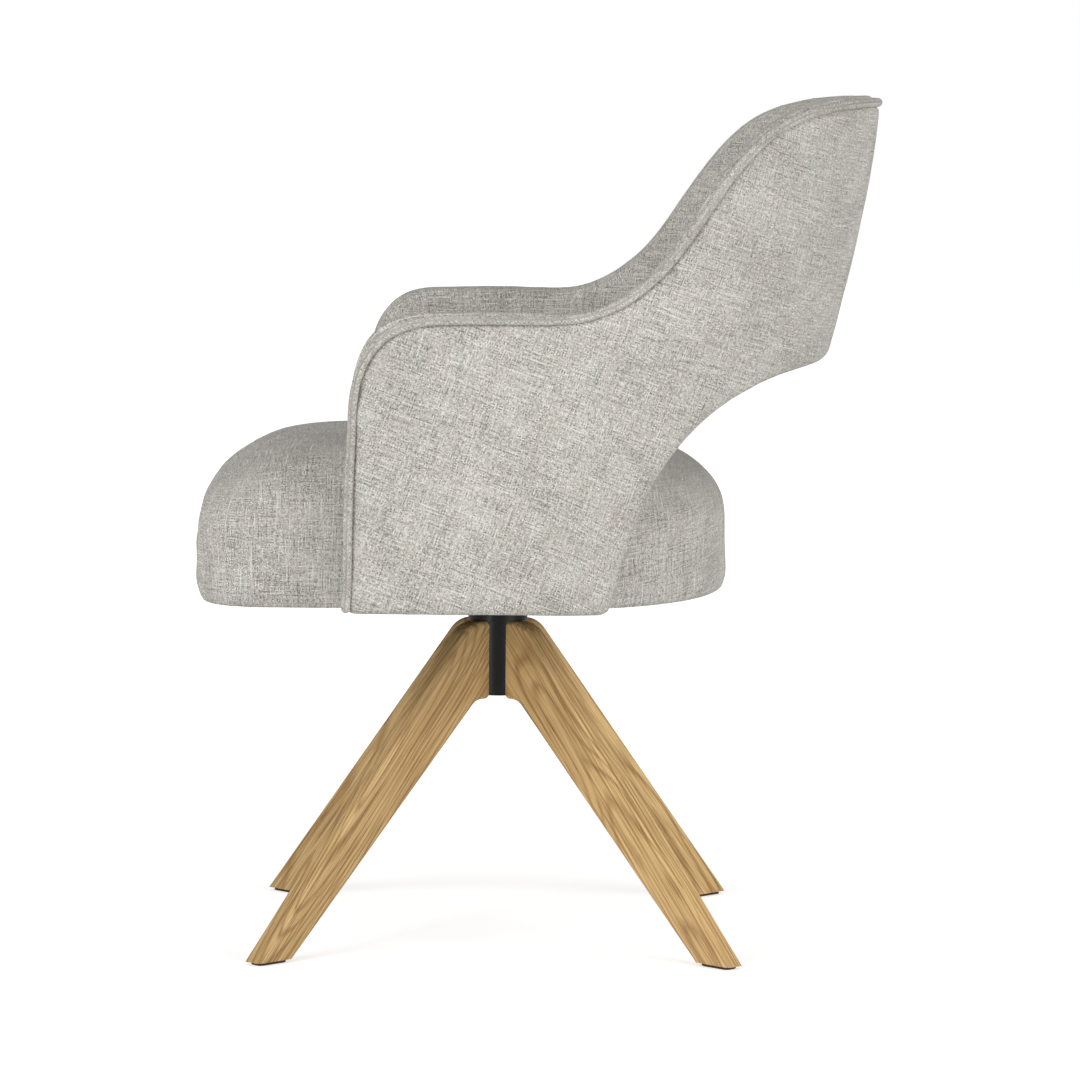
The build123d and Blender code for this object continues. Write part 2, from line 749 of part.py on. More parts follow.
for name, angle in leg_angles.items():
    with BuildPart() as leg:
        with BuildSketch(radial(angle)):
            with BuildLine():
                FilletPolyline(
                    (0, hub_top), (leg_top_knee, hub_top), (leg_top_foot, glide_thickness),
                    radius=leg_top_round,
                )
                Line((leg_top_foot, glide_thickness), (leg_low_foot, glide_thickness))
                FilletPolyline(
                    (leg_low_foot, glide_thickness), (leg_low_knee, leg_underside), (0, leg_underside),
                    radius=leg_low_round,
                )
                Line((0, leg_underside), (0, hub_top))
            make_face()
        extrude(amount=leg_thickness / 2, both=True)
        outline = leg.edges().filter_by(
            lambda e: abs(radial(angle).to_local_coords(e.center()).Z) > leg_thickness / 2 - 0.1
        )
        long_edges = outline.filter_by(
            lambda e: e.center().Z > glide_thickness + 0.1
            and radial(angle).to_local_coords(e.center()).X > 0.1
        )
        fillet(long_edges, leg_edge_round)
        add(hub_bore.part, mode=Mode.SUBTRACT)
        add(tongue_form.part, mode=Mode.SUBTRACT)
        add(screw_bores.part, mode=Mode.SUBTRACT)
        add(leg_screws.part, mode=Mode.SUBTRACT)
        add(glide_pins.part, mode=Mode.SUBTRACT)
    write(leg, f"leg_{name}")

    foot = radial(angle).from_local_coords((foot_middle, 0, 0))
    with BuildPart() as glide:
        with BuildSketch(Plane(foot, x_dir=radial(angle).x_dir, z_dir=(0, 0, 1))):
            RectangleRounded(glide_length, glide_width, glide_corner)
        extrude(amount=glide_thickness)
        chamfer(glide.faces().sort_by(Axis.Z)[0].edges(), glide_edge)
        add(glide_pins.part, mode=Mode.SUBTRACT)
    write(glide, f"glide_{name}")

with BuildPart() as hub_tongues:
    add(tongue_form.part)
    add(leg_screws.part, mode=Mode.SUBTRACT)

write(hub_tongues, "hub_tongues")
write(leg_screws, "leg_screws")
write(glide_pins, "glide_pins")
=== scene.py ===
"""Looks of an upholstered swivel dining chair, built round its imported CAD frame.

Metres, in the row frame: +Z is up, -Y is the front and +X is the sitter's left. The woven cover,
the padding's rims and the piping are soft pieces modelled here over the frame's solids. The oak,
the steel and the plastic are the frame's own solids in procedural finishes.
"""

import json
import logging
from dataclasses import dataclass, field
from enum import Enum
from math import cos, pi, radians, sin

import bmesh
import bpy
import numpy as np
from mathutils import Matrix, Vector
from mathutils.bvhtree import BVHTree
from mathutils.kdtree import KDTree

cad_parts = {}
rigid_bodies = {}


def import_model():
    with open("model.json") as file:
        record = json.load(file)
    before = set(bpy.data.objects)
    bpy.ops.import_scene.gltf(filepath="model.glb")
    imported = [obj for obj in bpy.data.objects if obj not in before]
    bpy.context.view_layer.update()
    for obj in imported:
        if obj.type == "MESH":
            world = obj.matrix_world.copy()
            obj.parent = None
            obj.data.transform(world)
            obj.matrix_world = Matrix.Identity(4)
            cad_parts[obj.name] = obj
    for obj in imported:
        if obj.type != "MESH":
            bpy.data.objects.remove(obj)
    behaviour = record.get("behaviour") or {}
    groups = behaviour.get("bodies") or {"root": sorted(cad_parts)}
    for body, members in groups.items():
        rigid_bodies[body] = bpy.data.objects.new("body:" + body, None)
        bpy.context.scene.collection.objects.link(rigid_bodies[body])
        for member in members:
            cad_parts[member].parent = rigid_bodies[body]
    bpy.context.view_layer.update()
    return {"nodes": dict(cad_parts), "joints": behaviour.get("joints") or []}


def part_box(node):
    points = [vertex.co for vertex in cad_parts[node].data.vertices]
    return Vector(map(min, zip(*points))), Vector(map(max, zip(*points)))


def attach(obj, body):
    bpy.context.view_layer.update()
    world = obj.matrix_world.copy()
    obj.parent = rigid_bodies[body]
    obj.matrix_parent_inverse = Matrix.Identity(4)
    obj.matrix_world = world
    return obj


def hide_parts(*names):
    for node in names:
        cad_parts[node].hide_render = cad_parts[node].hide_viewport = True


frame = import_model()
AXIS_Y = frame["joints"][0]["pos_m"][1]
WEAVE_MAP = "weave"

LOG = logging.getLogger("chair")

Array = np.ndarray
Mesh = bpy.types.Mesh
Piece = bpy.types.Object
Material = bpy.types.Material
Node = bpy.types.Node
Socket = bpy.types.NodeSocket
NodeInput = float | tuple[float, ...] | Socket


class Body(Enum):
    """Rigid bodies of the frame that pieces ride on."""

    SEAT = "seat"


class Slot(Enum):
    """Material slots of the record for the cloth and the piping, which no piece here uses."""

    CLOTH = "woven_cloth"
    PIPING = "piping_cloth"


# ---------------------------------------------------------------- nodes and finishes
class NodeBook:
    """Adds nodes to one node tree and joins them."""

    def __init__(self, tree: bpy.types.NodeTree) -> None:
        """Open a tree for writing.

        Args:
            tree: The material's, the world's or the group's node tree.
        """
        self.tree = tree

    def feed(self, node: Node, sockets: dict[str | int, NodeInput]) -> None:
        """Set a node's inputs.

        Args:
            node: The node.
            sockets: Input name or index, with the value or the output that feeds it.
        """
        for name, value in sockets.items():
            if isinstance(value, Socket):
                self.tree.links.new(value, node.inputs[name])
            else:
                node.inputs[name].default_value = value

    def add(self, kind: str, sockets: dict[str | int, NodeInput] | None = None,
            **settings: object) -> Node:
        """Add a node.

        Args:
            kind: Blender's name of the node type.
            sockets: Inputs to set, as for feed.
            **settings: Properties of the node.

        Returns:
            The new node.
        """
        node = self.tree.nodes.new(kind)
        for name, value in settings.items():
            setattr(node, name, value)
        self.feed(node, sockets or {})
        return node

    def math(self, operation: str, *values: NodeInput) -> Socket:
        """Output of a Math node on up to three values."""
        return self.add("ShaderNodeMath", dict(enumerate(values)), operation=operation).outputs[0]

    def mix(self, factor: NodeInput, low: NodeInput, high: NodeInput) -> Socket:
        """Value between low and high."""
        sockets = {0: factor, 2: low, 3: high}
        return self.add("ShaderNodeMix", sockets, data_type="FLOAT").outputs[0]

    def tint(self, factor: NodeInput, under: NodeInput, over: NodeInput,
             blend: str = "MIX") -> Socket:
        """Colour between two colours, in a blend mode."""
        sockets = {0: factor, 6: under, 7: over}
        return self.add("ShaderNodeMix", sockets, data_type="RGBA", blend_type=blend).outputs[2]

    def grey(self, level: NodeInput) -> Socket:
        """Colour with one level in its three parts."""
        return self.add("ShaderNodeCombineColor", {0: level, 1: level, 2: level}).outputs[0]

    def spread(self, value: NodeInput, low: float, high: float) -> Socket:
        """Value stretched so that low becomes 0 and high becomes 1, and cut off beyond them."""
        sockets = {"Value": value, "From Min": low, "From Max": high}
        return self.add("ShaderNodeMapRange", sockets, clamp=True).outputs[0]

    def noise(self, vector: NodeInput, scale: tuple[float, float, float], detail: float = 2.0,
              shift: float = 0.0, flat: bool = False) -> Socket:
        """Noise with its own number of features to the metre along each axis.

        Args:
            vector: Place on the piece, in metres.
            scale: Features to the metre along X, Y and Z.
            detail: Finer layers of noise.
            shift: Moves the pattern to another place.
            flat: True for noise in X and Y alone.

        Returns:
            The noise value, about 0.5 on average.
        """
        sockets = {"Vector": vector, "Location": (shift, shift * 1.7, shift * 0.6), "Scale": scale}
        place = self.add("ShaderNodeMapping", sockets).outputs[0]
        sockets = {"Vector": place, "Scale": 1.0, "Detail": detail, "Roughness": 0.55}
        return self.add("ShaderNodeTexNoise", sockets, noise_dimensions="2D" if flat else "3D").outputs[0]

    def veil(self, under: NodeInput, over: NodeInput, strength: NodeInput, noise: NodeInput,
             low: float, high: float) -> Socket:
        """Colour that shows another colour over it where a noise is high.

        Args:
            under: Colour beneath.
            over: Colour of the veil.
            strength: Share of the veil where it is full.
            noise: Noise that places it.
            low: Noise at which it starts.
            high: Noise at which it is full.

        Returns:
            The colour.
        """
        return self.tint(self.math("MULTIPLY", self.spread(noise, low, high), strength), under, over)

    def surface(self, shader: Node, pattern: Node, relief: float, strength: float,
                others: dict[str, NodeInput]) -> None:
        """Feed a Principled shader from a placed pattern's Color and Height.

        Args:
            shader: The shader.
            pattern: The placed group.
            relief: Depth of the pattern.
            strength: Share of the relief that shows.
            others: The shader's other inputs.
        """
        sockets = {"Height": pattern.outputs["Height"], "Distance": relief, "Strength": strength}
        bump = self.add("ShaderNodeBump", sockets).outputs[0]
        self.feed(shader, {"Base Color": pattern.outputs["Color"], "Normal": bump, **others})


def blank_book(owner: Material | bpy.types.World) -> NodeBook:
    """Emptied node tree of a material or a world, open for writing."""
    owner.use_nodes = True
    owner.node_tree.nodes.clear()
    return NodeBook(owner.node_tree)


def rgb(red: int, green: int, blue: int) -> tuple[float, float, float, float]:
    """Scene-linear colour of a colour as a picture shows it, each part from 0 to 255."""
    parts = [value / 255 for value in (red, green, blue)]
    linear = [p / 12.92 if p <= 0.04045 else ((p + 0.055) / 1.055) ** 2.4 for p in parts]
    return (*linear, 1.0)


class PatternGroup:
    """A shader node group with named inputs and outputs, built once and placed in materials."""

    def __init__(self, name: str, inputs: dict[str, NodeInput], outputs: tuple[str, ...]) -> None:
        """Open a new group.

        Args:
            name: The group's name.
            inputs: Name and usual value of each input.
            outputs: Name of each output. Color is a colour, and the others are values.
        """
        self.tree = bpy.data.node_groups.new(name, "ShaderNodeTree")
        for label, value in inputs.items():
            kind = "NodeSocketFloat"
            if isinstance(value, tuple):
                kind = "NodeSocketColor" if len(value) == 4 else "NodeSocketVector"
            self.tree.interface.new_socket(label, in_out="INPUT", socket_type=kind).default_value = value
        for label in outputs:
            kind = "NodeSocketColor" if label == "Color" else "NodeSocketFloat"
            self.tree.interface.new_socket(label, in_out="OUTPUT", socket_type=kind)
        self.book = NodeBook(self.tree)
        self.inputs = self.book.add("NodeGroupInput").outputs

    def close(self, **values: NodeInput) -> None:
        """Feed the group's outputs."""
        self.book.add("NodeGroupOutput", values)

    def place(self, book: NodeBook, **values: NodeInput) -> Node:
        """Place the group in a material's tree with its own values."""
        return book.add("ShaderNodeGroup", values, node_tree=self.tree)


def melange_weave() -> PatternGroup:
    """Plain weave of slubby two-tone yarn, in metres on the cloth.

    Returns:
        The group. Vector is the place on the cloth; Color and Height come out.
    """
    inputs = {
        "Vector": (0.0, 0.0, 0.0),
        "Pitch": 0.00125,
        "Dark": rgb(106, 102, 95),
        "Middle": rgb(194, 190, 183),
        "Light": rgb(240, 238, 233),
        "Slubs": 1.0,
    }
    group = PatternGroup("melange_weave", inputs, ("Color", "Height"))
    book, vector = group.book, group.inputs["Vector"]
    split = book.add("ShaderNodeSeparateXYZ", {0: vector}).outputs
    ends, rounds, shades = [], [], []
    # The warp is counted along X and the weft along Y.
    for axis, scale, shift in ((0, (90, 40, 1), 3.1), (1, (40, 90, 1), 7.7)):
        wander = book.math("SUBTRACT", book.noise(vector, scale, 2, shift, True), 0.5)
        place = book.math("MULTIPLY_ADD", wander, 0.0016, split[axis])
        count = book.math("DIVIDE", place, group.inputs["Pitch"])
        ends.append(book.math("FLOOR", count))
        rounds.append(book.math("SINE", book.math("MULTIPLY", book.math("FRACT", count), pi)))
        # Each thread has its own shade, with long slubs and short ones along it.
        slubs = []
        for apart, to_the_metre, start in ((0.83, 26.0, 11.3), (0.97, 260.0, 5.9)):
            run = book.math("MULTIPLY", split[1 - axis], to_the_metre)
            place = book.add("ShaderNodeCombineXYZ", {0: book.math("MULTIPLY", ends[-1], apart), 1: run})
            slubs.append(book.noise(place.outputs[0], (1, 1, 1), 1, start, True))
        shades.append(book.mix(0.60, *slubs))
    over = book.math("FLOORED_MODULO", book.math("ADD", *ends), 2.0)
    yarn = book.mix(over, shades[1], shades[0])
    shade = book.mix(0.36, yarn, book.noise(vector, (1500, 1500, 1), 1, 2.3, True))
    shade = book.mix(0.07, shade, book.noise(vector, (13, 17, 1), 2, 9.4, True))
    colour = book.tint(book.spread(shade, 0.36, 0.50), group.inputs["Dark"], group.inputs["Middle"])
    colour = book.tint(book.spread(shade, 0.50, 0.64), colour, group.inputs["Light"])
    hue = book.noise(vector, (30, 30, 1), 2, 21.0, True)
    warm = book.tint(book.spread(hue, 0.3, 0.7), rgb(252, 255, 251), rgb(255, 252, 250))
    colour = book.tint(0.8, colour, warm, "MULTIPLY")
    # Now and then a thick pale slub or a dark one shows along a thread, both ways of the cloth.
    streaks = [
        ("Light", 0.50, (19, 640, 1), 31.0, 0.66, 0.78),
        ("Light", 0.34, (640, 26, 1), 37.0, 0.67, 0.79),
        ("Dark", 0.34, (24, 700, 1), 43.0, 0.65, 0.77),
        ("Dark", 0.30, (700, 30, 1), 53.0, 0.67, 0.79),
    ]
    for name, strength, scale, shift, low, high in streaks:
        share = book.math("MULTIPLY", group.inputs["Slubs"], strength)
        noise = book.noise(vector, scale, 1, shift, True)
        colour = book.veil(colour, group.inputs[name], share, noise, low, high)
    height = book.math("MULTIPLY_ADD", yarn, 0.9, book.mix(over, rounds[1], rounds[0]))
    group.close(Color=colour, Height=height)
    return group


def oak_grain() -> PatternGroup:
    """Straight and arched grain of oiled oak, in metres with Z along the grain.

    Returns:
        The group. Vector is the place in the plank; Color, Height and Gloss come out.
    """
    inputs = {
        "Vector": (0.0, 0.0, 0.0),
        "Early": rgb(150, 108, 54),
        "Late": rgb(232, 198, 138),
        "Pores": rgb(92, 60, 26),
        "Tone": 1.0,
    }
    group = PatternGroup("oak_grain", inputs, ("Color", "Height", "Gloss"))
    book, vector = group.book, group.inputs["Vector"]
    split = book.add("ShaderNodeSeparateXYZ", {0: vector}).outputs
    # Growth rings: distance from a pith that wanders as the tree grew, so faces show arches.
    bend = book.noise(vector, (9.0, 9.0, 2.2), 2, 0.0)
    wave = book.noise(vector, (45.0, 45.0, 5.0), 2, 4.0)
    pith_x = book.math("MULTIPLY_ADD", bend, 0.075, split[0])
    pith_y = book.math("MULTIPLY_ADD", bend, 0.050, book.math("MULTIPLY", split[1], 0.55))
    squares = [book.math("POWER", pith, 2.0) for pith in (pith_x, pith_y)]
    radius = book.math("MULTIPLY_ADD", wave, 0.0035, book.math("SQRT", book.math("ADD", *squares)))
    ring = book.math("FRACT", book.math("DIVIDE", radius, 0.0038))
    early = book.spread(book.math("ABSOLUTE", book.math("SUBTRACT", ring, 0.5)), 0.22, 0.47)
    fibres = book.noise(vector, (850.0, 850.0, 16.0), 3, 8.0)
    shade = book.mix(0.5, early, book.spread(fibres, 0.3, 0.7))
    colour = book.tint(shade, group.inputs["Late"], group.inputs["Early"])
    # Dark lines and fine threads along the grain, and broad pale bands.
    veils = [
        (rgb(126, 86, 38), 0.72, (430.0, 430.0, 7.0), 2, 71.0, 0.54, 0.64),
        (rgb(128, 88, 42), 0.60, (1000.0, 1000.0, 10.0), 1, 93.0, 0.52, 0.62),
        (rgb(226, 190, 138), 0.30, (14.0, 14.0, 3.0), 2, 30.0, 0.3, 0.7),
    ]
    for over, strength, scale, detail, shift, low, high in veils:
        colour = book.veil(colour, over, strength, book.noise(vector, scale, detail, shift), low, high)
    pores = book.spread(book.noise(vector, (1300.0, 1300.0, 42.0), 2, 15.0), 0.58, 0.72)
    pore = book.math("MULTIPLY", pores, book.math("MULTIPLY_ADD", early, 0.75, 0.2))
    colour = book.tint(book.math("MULTIPLY", pore, 0.85), colour, group.inputs["Pores"])
    flecks = book.noise(vector, (160.0, 900.0, 70.0), 1, 50.0)
    colour = book.veil(colour, rgb(232, 202, 152), 0.16, flecks, 0.66, 0.74)
    # Painted light and shade: the whole plank is made lighter or darker by how much light its leg's seen
    # face gets.
    colour = book.tint(1.0, colour, book.grey(group.inputs["Tone"]), "MULTIPLY")
    height = book.math("SUBTRACT", book.math("MULTIPLY", fibres, 0.4), pore)
    group.close(Color=colour, Height=height, Gloss=pore)
    return group


def speckle() -> PatternGroup:
    """Fine grain and slow mottle for plastic, steel and powder coat.

    Returns:
        The group. Color, Height and Mottle come out.
    """
    inputs = {"Vector": (0.0, 0.0, 0.0), "Base": rgb(40, 40, 42), "Grain": 2500.0, "Amount": 0.1}
    group = PatternGroup("speckle", inputs, ("Color", "Height", "Mottle"))
    book, vector = group.book, group.inputs["Vector"]
    sockets = {"Vector": vector, "Scale": group.inputs["Grain"], "Detail": 2.0}
    grain = book.add("ShaderNodeTexNoise", sockets).outputs[0]
    mottle = book.noise(vector, (30.0, 30.0, 30.0), 3, 1.0)
    uneven = book.math("SUBTRACT", book.mix(0.5, grain, mottle), 0.5)
    gain = book.math("ADD", book.math("MULTIPLY", uneven, group.inputs["Amount"]), 1.0)
    colour = book.tint(1.0, group.inputs["Base"], book.grey(gain), "MULTIPLY")
    group.close(Color=colour, Height=grain, Mottle=mottle)
    return group


@dataclass(frozen=True)
class Patterns:
    """The node groups that the finishes share."""

    weave: PatternGroup = field(default_factory=melange_weave)
    oak: PatternGroup = field(default_factory=oak_grain)
    speckle: PatternGroup = field(default_factory=speckle)


def blank_material(name: str) -> tuple[Material, NodeBook, Node]:
    """A material with a Principled shader on its output.

    Args:
        name: The material's name.

    Returns:
        The material, its node book and the shader.
    """
    material = bpy.data.materials.new(name)
    book = blank_book(material)
    shader = book.add("ShaderNodeBsdfPrincipled")
    book.add("ShaderNodeOutputMaterial", {"Surface": shader.outputs[0]})
    return material, book, shader


@dataclass(frozen=True)
class ClothFinish:
    """Matte woven cloth that follows a piece's own map of the weave.

    Attributes:
        name: Name of the material.
        turn: Angle of the threads on the map, in degrees.
        pitch: Distance between threads.
        relief: Depth of the weave.
        shift: Place of the cut on the roll, so that pieces differ.
        slubs: Strength of the thick threads.
    """

    name: str
    turn: float = 0.0
    pitch: float = 0.00125
    relief: float = 0.00035
    shift: float = 0.0
    slubs: float = 1.0

    def material(self, patterns: Patterns) -> Material:
        """Build the material."""
        material, book, shader = blank_material(self.name)
        sockets = {
            "Vector": book.add("ShaderNodeUVMap", uv_map=WEAVE_MAP).outputs[0],
            "Location": (self.shift, self.shift, 0.0),
            "Rotation": (0.0, 0.0, radians(self.turn)),
        }
        place = book.add("ShaderNodeMapping", sockets).outputs[0]
        weave = patterns.weave.place(book, Vector=place, Pitch=self.pitch, Slubs=self.slubs)
        others = {"Roughness": 0.92, "Specular IOR Level": 0.2, "Sheen Weight": 0.12, "Sheen Roughness": 0.5}
        book.surface(shader, weave, self.relief, 0.8, others)
        return material


@dataclass(frozen=True)
class OakFinish:
    """Oiled oak whose grain runs along one direction.

    Attributes:
        name: Name of the material.
        along: Direction of the grain.
        face: Direction out of the plank's flat side.
        origin: Point that the pattern is measured from.
        shift: Place of the plank in the tree, so that planks differ.
        painted_lightness: Lightness of the plank, with painted light and shade: darker where its leg's seen
            face gets less light, lighter where it gets more.
    """

    name: str
    along: Vector
    face: Vector
    origin: Vector
    shift: Vector
    painted_lightness: float

    def material(self, patterns: Patterns) -> Material:
        """Build the material."""
        material, book, shader = blank_material(self.name)
        along = self.along.normalized()
        face = self.face.normalized()
        turn = Matrix((face, along.cross(face), along))
        sockets = {
            "Vector": book.add("ShaderNodeTexCoord").outputs["Object"],
            "Rotation": tuple(turn.to_euler()),
            "Location": tuple(self.shift - turn @ self.origin),
        }
        place = book.add("ShaderNodeMapping", sockets).outputs[0]
        oak = patterns.oak.place(book, Vector=place, Tone=self.painted_lightness)
        roughness = book.math("MULTIPLY_ADD", oak.outputs["Gloss"], 0.2, 0.52)
        book.surface(shader, oak, 0.00012, 0.7, {"Roughness": roughness, "Specular IOR Level": 0.35})
        return material


@dataclass(frozen=True)
class SpeckledFinish:
    """Plain surface with a fine grain: powder coat, zinc, plastic, raw board or felt.

    Attributes:
        name: Name of the material.
        colour: Base colour.
        roughness: Roughness of the surface.
        metal: 1 for bare metal.
        grain: Grains to the metre.
        amount: Strength of the colour's grain.
        relief: Depth of the grain.
        gloss: Strength of what the surface mirrors.
    """

    name: str
    colour: tuple[float, float, float, float]
    roughness: float
    metal: float = 0.0
    grain: float = 2500.0
    amount: float = 0.15
    relief: float = 0.00005
    gloss: float = 0.5

    def material(self, patterns: Patterns) -> Material:
        """Build the material."""
        material, book, shader = blank_material(self.name)
        place = book.add("ShaderNodeTexCoord").outputs["Object"]
        values = {"Vector": place, "Base": self.colour, "Grain": self.grain, "Amount": self.amount}
        grain = patterns.speckle.place(book, **values)
        roughness = book.math("MULTIPLY_ADD", grain.outputs["Mottle"], 0.2, self.roughness - 0.1)
        others = {"Roughness": roughness, "Metallic": self.metal, "Specular IOR Level": self.gloss}
        book.surface(shader, grain, self.relief, 0.6, others)
        return material


def dress(piece: Piece, material: Material) -> None:
    """Give a piece, or a CAD node, one material all over."""
    piece.data.materials.clear()
    piece.data.materials.append(material)


# ---------------------------------------------------------------- meshes
def use_only(piece: Piece) -> None:
    """Select one piece alone and make it active."""
    for other in bpy.context.view_layer.objects:
        other.select_set(False)
    piece.select_set(True)
    bpy.context.view_layer.objects.active = piece


def finish_modifier(piece: Piece, kind: str, **settings: object) -> None:
    """Put a modifier on a piece and apply it.

    Args:
        piece: The piece to change.
        kind: Blender's name of the modifier type.
        **settings: Properties of the modifier.
    """
    use_only(piece)
    modifier = piece.modifiers.new(kind.lower(), kind)
    for name, value in settings.items():
        setattr(modifier, name, value)
    bpy.ops.object.modifier_apply(modifier=modifier.name)


def new_piece(name: str, mesh: Mesh) -> Piece:
    """Link a mesh into the scene as a piece."""
    piece = bpy.data.objects.new(name, mesh)
    bpy.context.scene.collection.objects.link(piece)
    return piece


def union_of(name: str, nodes: list[str]) -> Piece:
    """One object that holds copies of several CAD nodes' meshes, merged node by node."""
    sheet = bmesh.new()
    for node in nodes:
        start = len(sheet.verts)
        sheet.from_mesh(frame["nodes"][node].data)
        sheet.verts.ensure_lookup_table()
        bmesh.ops.remove_doubles(sheet, verts=sheet.verts[start:], dist=1e-6)
    mesh = bpy.data.meshes.new(name)
    sheet.to_mesh(mesh)
    sheet.free()
    return new_piece(name, mesh)


def keep_outer_shell(piece: Piece) -> None:
    """Delete every loose shell of a mesh but the one with the most vertices."""
    sheet = bmesh.new()
    sheet.from_mesh(piece.data)
    unseen = set(sheet.verts)
    shells = []
    while unseen:
        shell = {unseen.pop()}
        front = list(shell)
        while front:
            vert = front.pop()
            for edge in vert.link_edges:
                other = edge.other_vert(vert)
                if other in unseen:
                    unseen.discard(other)
                    shell.add(other)
                    front.append(other)
        shells.append(shell)
    shells.sort(key=len)
    for shell in shells[:-1]:
        bmesh.ops.delete(sheet, geom=list(shell), context="VERTS")
    sheet.to_mesh(piece.data)
    sheet.free()


def table(items: bpy.types.bpy_prop_collection, what: str, width: int = 1, kind: type = float) -> Array:
    """Numbers of a mesh's vertices, faces or corners.

    Args:
        items: The vertices, faces or corners.
        what: Name of the property.
        width: How many numbers each has.
        kind: Type of the numbers.

    Returns:
        One number for each, or one row where width is over 1.
    """
    found = np.zeros(len(items) * width, kind)
    items.foreach_get(what, found)
    return found.reshape(-1, width) if width > 1 else found


def places(mesh: Mesh) -> Array:
    """Vertex places of a mesh, one row each."""
    return table(mesh.vertices, "co", 3)


def directions(mesh: Mesh) -> Array:
    """Vertex normals of a mesh, one row each."""
    return table(mesh.vertex_normals, "vector", 3)


def move_to(mesh: Mesh, where: Array) -> None:
    """Move a mesh's vertices."""
    mesh.vertices.foreach_set("co", where.ravel())
    mesh.update()


def gather(piece: Piece, name: str, chosen: Array) -> None:
    """Put the chosen vertices of a piece into a new vertex group."""
    group = piece.vertex_groups.new(name=name)
    group.add([int(index) for index in np.flatnonzero(chosen)], 1.0, "REPLACE")


class FaceTable:
    """Faces of a mesh with the vertices at their corners, for laying the weave's map."""

    def __init__(self, mesh: Mesh) -> None:
        """Read a mesh's faces.

        Args:
            mesh: The mesh.
        """
        self.mesh = mesh
        self.counts = table(mesh.polygons, "loop_total", kind=int)
        self.corners = table(mesh.loops, "vertex_index", kind=int)

    def mean(self, values: Array) -> Array:
        """Mean over each face of values given for the vertices."""
        starts = np.concatenate([[0], np.cumsum(self.counts)[:-1]])
        return (np.add.reduceat(values[self.corners], starts).T / self.counts).T

    def choose(self, chosen: Array, there: Array, elsewhere: Array) -> Array:
        """Rows for the faces' corners: from one table on the chosen faces, from another elsewhere."""
        return np.where(np.repeat(chosen, self.counts)[:, None], there, elsewhere)

    def lay(self, where: Array) -> None:
        """Give the mesh the weave's map, from one pair of numbers to a corner."""
        self.mesh.uv_layers.new(name=WEAVE_MAP).data.foreach_set("uv", where.ravel())


def surface_tree(node: str) -> BVHTree:
    """Search tree over a CAD node's surface."""
    mesh = frame["nodes"][node].data
    mesh.calc_loop_triangles()
    corners = [tuple(triangle.vertices) for triangle in mesh.loop_triangles]
    return BVHTree.FromPolygons([vert.co for vert in mesh.vertices], corners)


def distances(tree: BVHTree, where: Array) -> Array:
    """Distance of each place from a surface."""
    return np.array([tree.find_nearest(Vector(place))[3] for place in where])


def smooth_step(share: Array) -> Array:
    """Shares from 0 to 1, eased at both ends."""
    return share * share * (3 - 2 * share)


def unit(rows: Array) -> Array:
    """Rows brought to length 1."""
    return rows / np.linalg.norm(rows, axis=1, keepdims=True)


def running_total(steps: Array) -> Array:
    """Running total of steps, from 0 on."""
    return np.concatenate([[0], np.cumsum(steps)])


def relaxed(line: Array, rounds: int) -> Array:
    """Line of points, each drawn halfway to its neighbours for some rounds; the ends stay."""
    line = line.copy()
    for _ in range(rounds):
        line[1:-1] = line[1:-1] / 2 + (line[:-2] + line[2:]) / 4
    return line


def quarter_run(turns: Array, first: float, second: float, count: int) -> Array:
    """Length round a quarter of an ellipse, up to each turn.

    Args:
        turns: Turns from 0 to a right angle.
        first: Half-axis along which the curve sets off.
        second: Half-axis along which it arrives.
        count: Points that the quarter is measured at.

    Returns:
        The lengths.
    """
    steps = np.linspace(0, pi / 2, count)
    speed = np.hypot(first * np.cos(steps), second * np.sin(steps))
    return np.interp(turns, steps, running_total((speed[1:] + speed[:-1]) / 2 * np.diff(steps)))


def soft_noise(where: Array, size: float, seed: int) -> Array:
    """Smooth noise from -1 to 1 made of a few turned waves, with features about size across."""
    rng = np.random.default_rng(seed)
    total = np.zeros(len(where))
    count = 9
    for _ in range(count):
        direction = rng.normal(size=3)
        direction /= np.linalg.norm(direction)
        length = size * rng.uniform(0.7, 1.6)
        total += np.sin(where @ direction * (2 * pi / length) + rng.uniform(0, 2 * pi))
    return total / count ** 0.5 / 1.5


def unevenness(where: Array, layers: tuple[tuple[float, float, int], ...]) -> Array:
    """Sum of layers of soft noise, each with its height, the size of its features and its seed."""
    return sum(height * soft_noise(where, size, seed) for height, size, seed in layers)


def smooth_shade(piece: Piece) -> None:
    """Shade a piece smooth all over."""
    piece.data.polygons.foreach_set("use_smooth", [True] * len(piece.data.polygons))
    piece.data.update()


# ---------------------------------------------------------------- back and arms
@dataclass(frozen=True)
class Seam:
    """Line of the piping, between the outer and the inner cover.

    Attributes:
        points: Middle of the piping.
        along: Directions along it.
        out: Directions out of the wall.
        into: Directions from it into the outer cover.
        reached: Length of the line up to each point.
        tree: Search tree over the points.
    """

    points: Array
    along: Array
    out: Array
    into: Array
    reached: Array
    tree: KDTree

    def locate(self, where: Array) -> tuple[Array, Array, Array]:
        """Find the points of the seam that are nearest to places.

        Args:
            where: Places on or near the covers.

        Returns:
            Indexes of the nearest points, the steps from them to the places, and how far these
            steps go into the outer cover.
        """
        nearest = np.array([self.tree.find(Vector(place))[1] for place in where])
        away = where - self.points[nearest]
        return nearest, away, (away * self.into[nearest]).sum(axis=1)


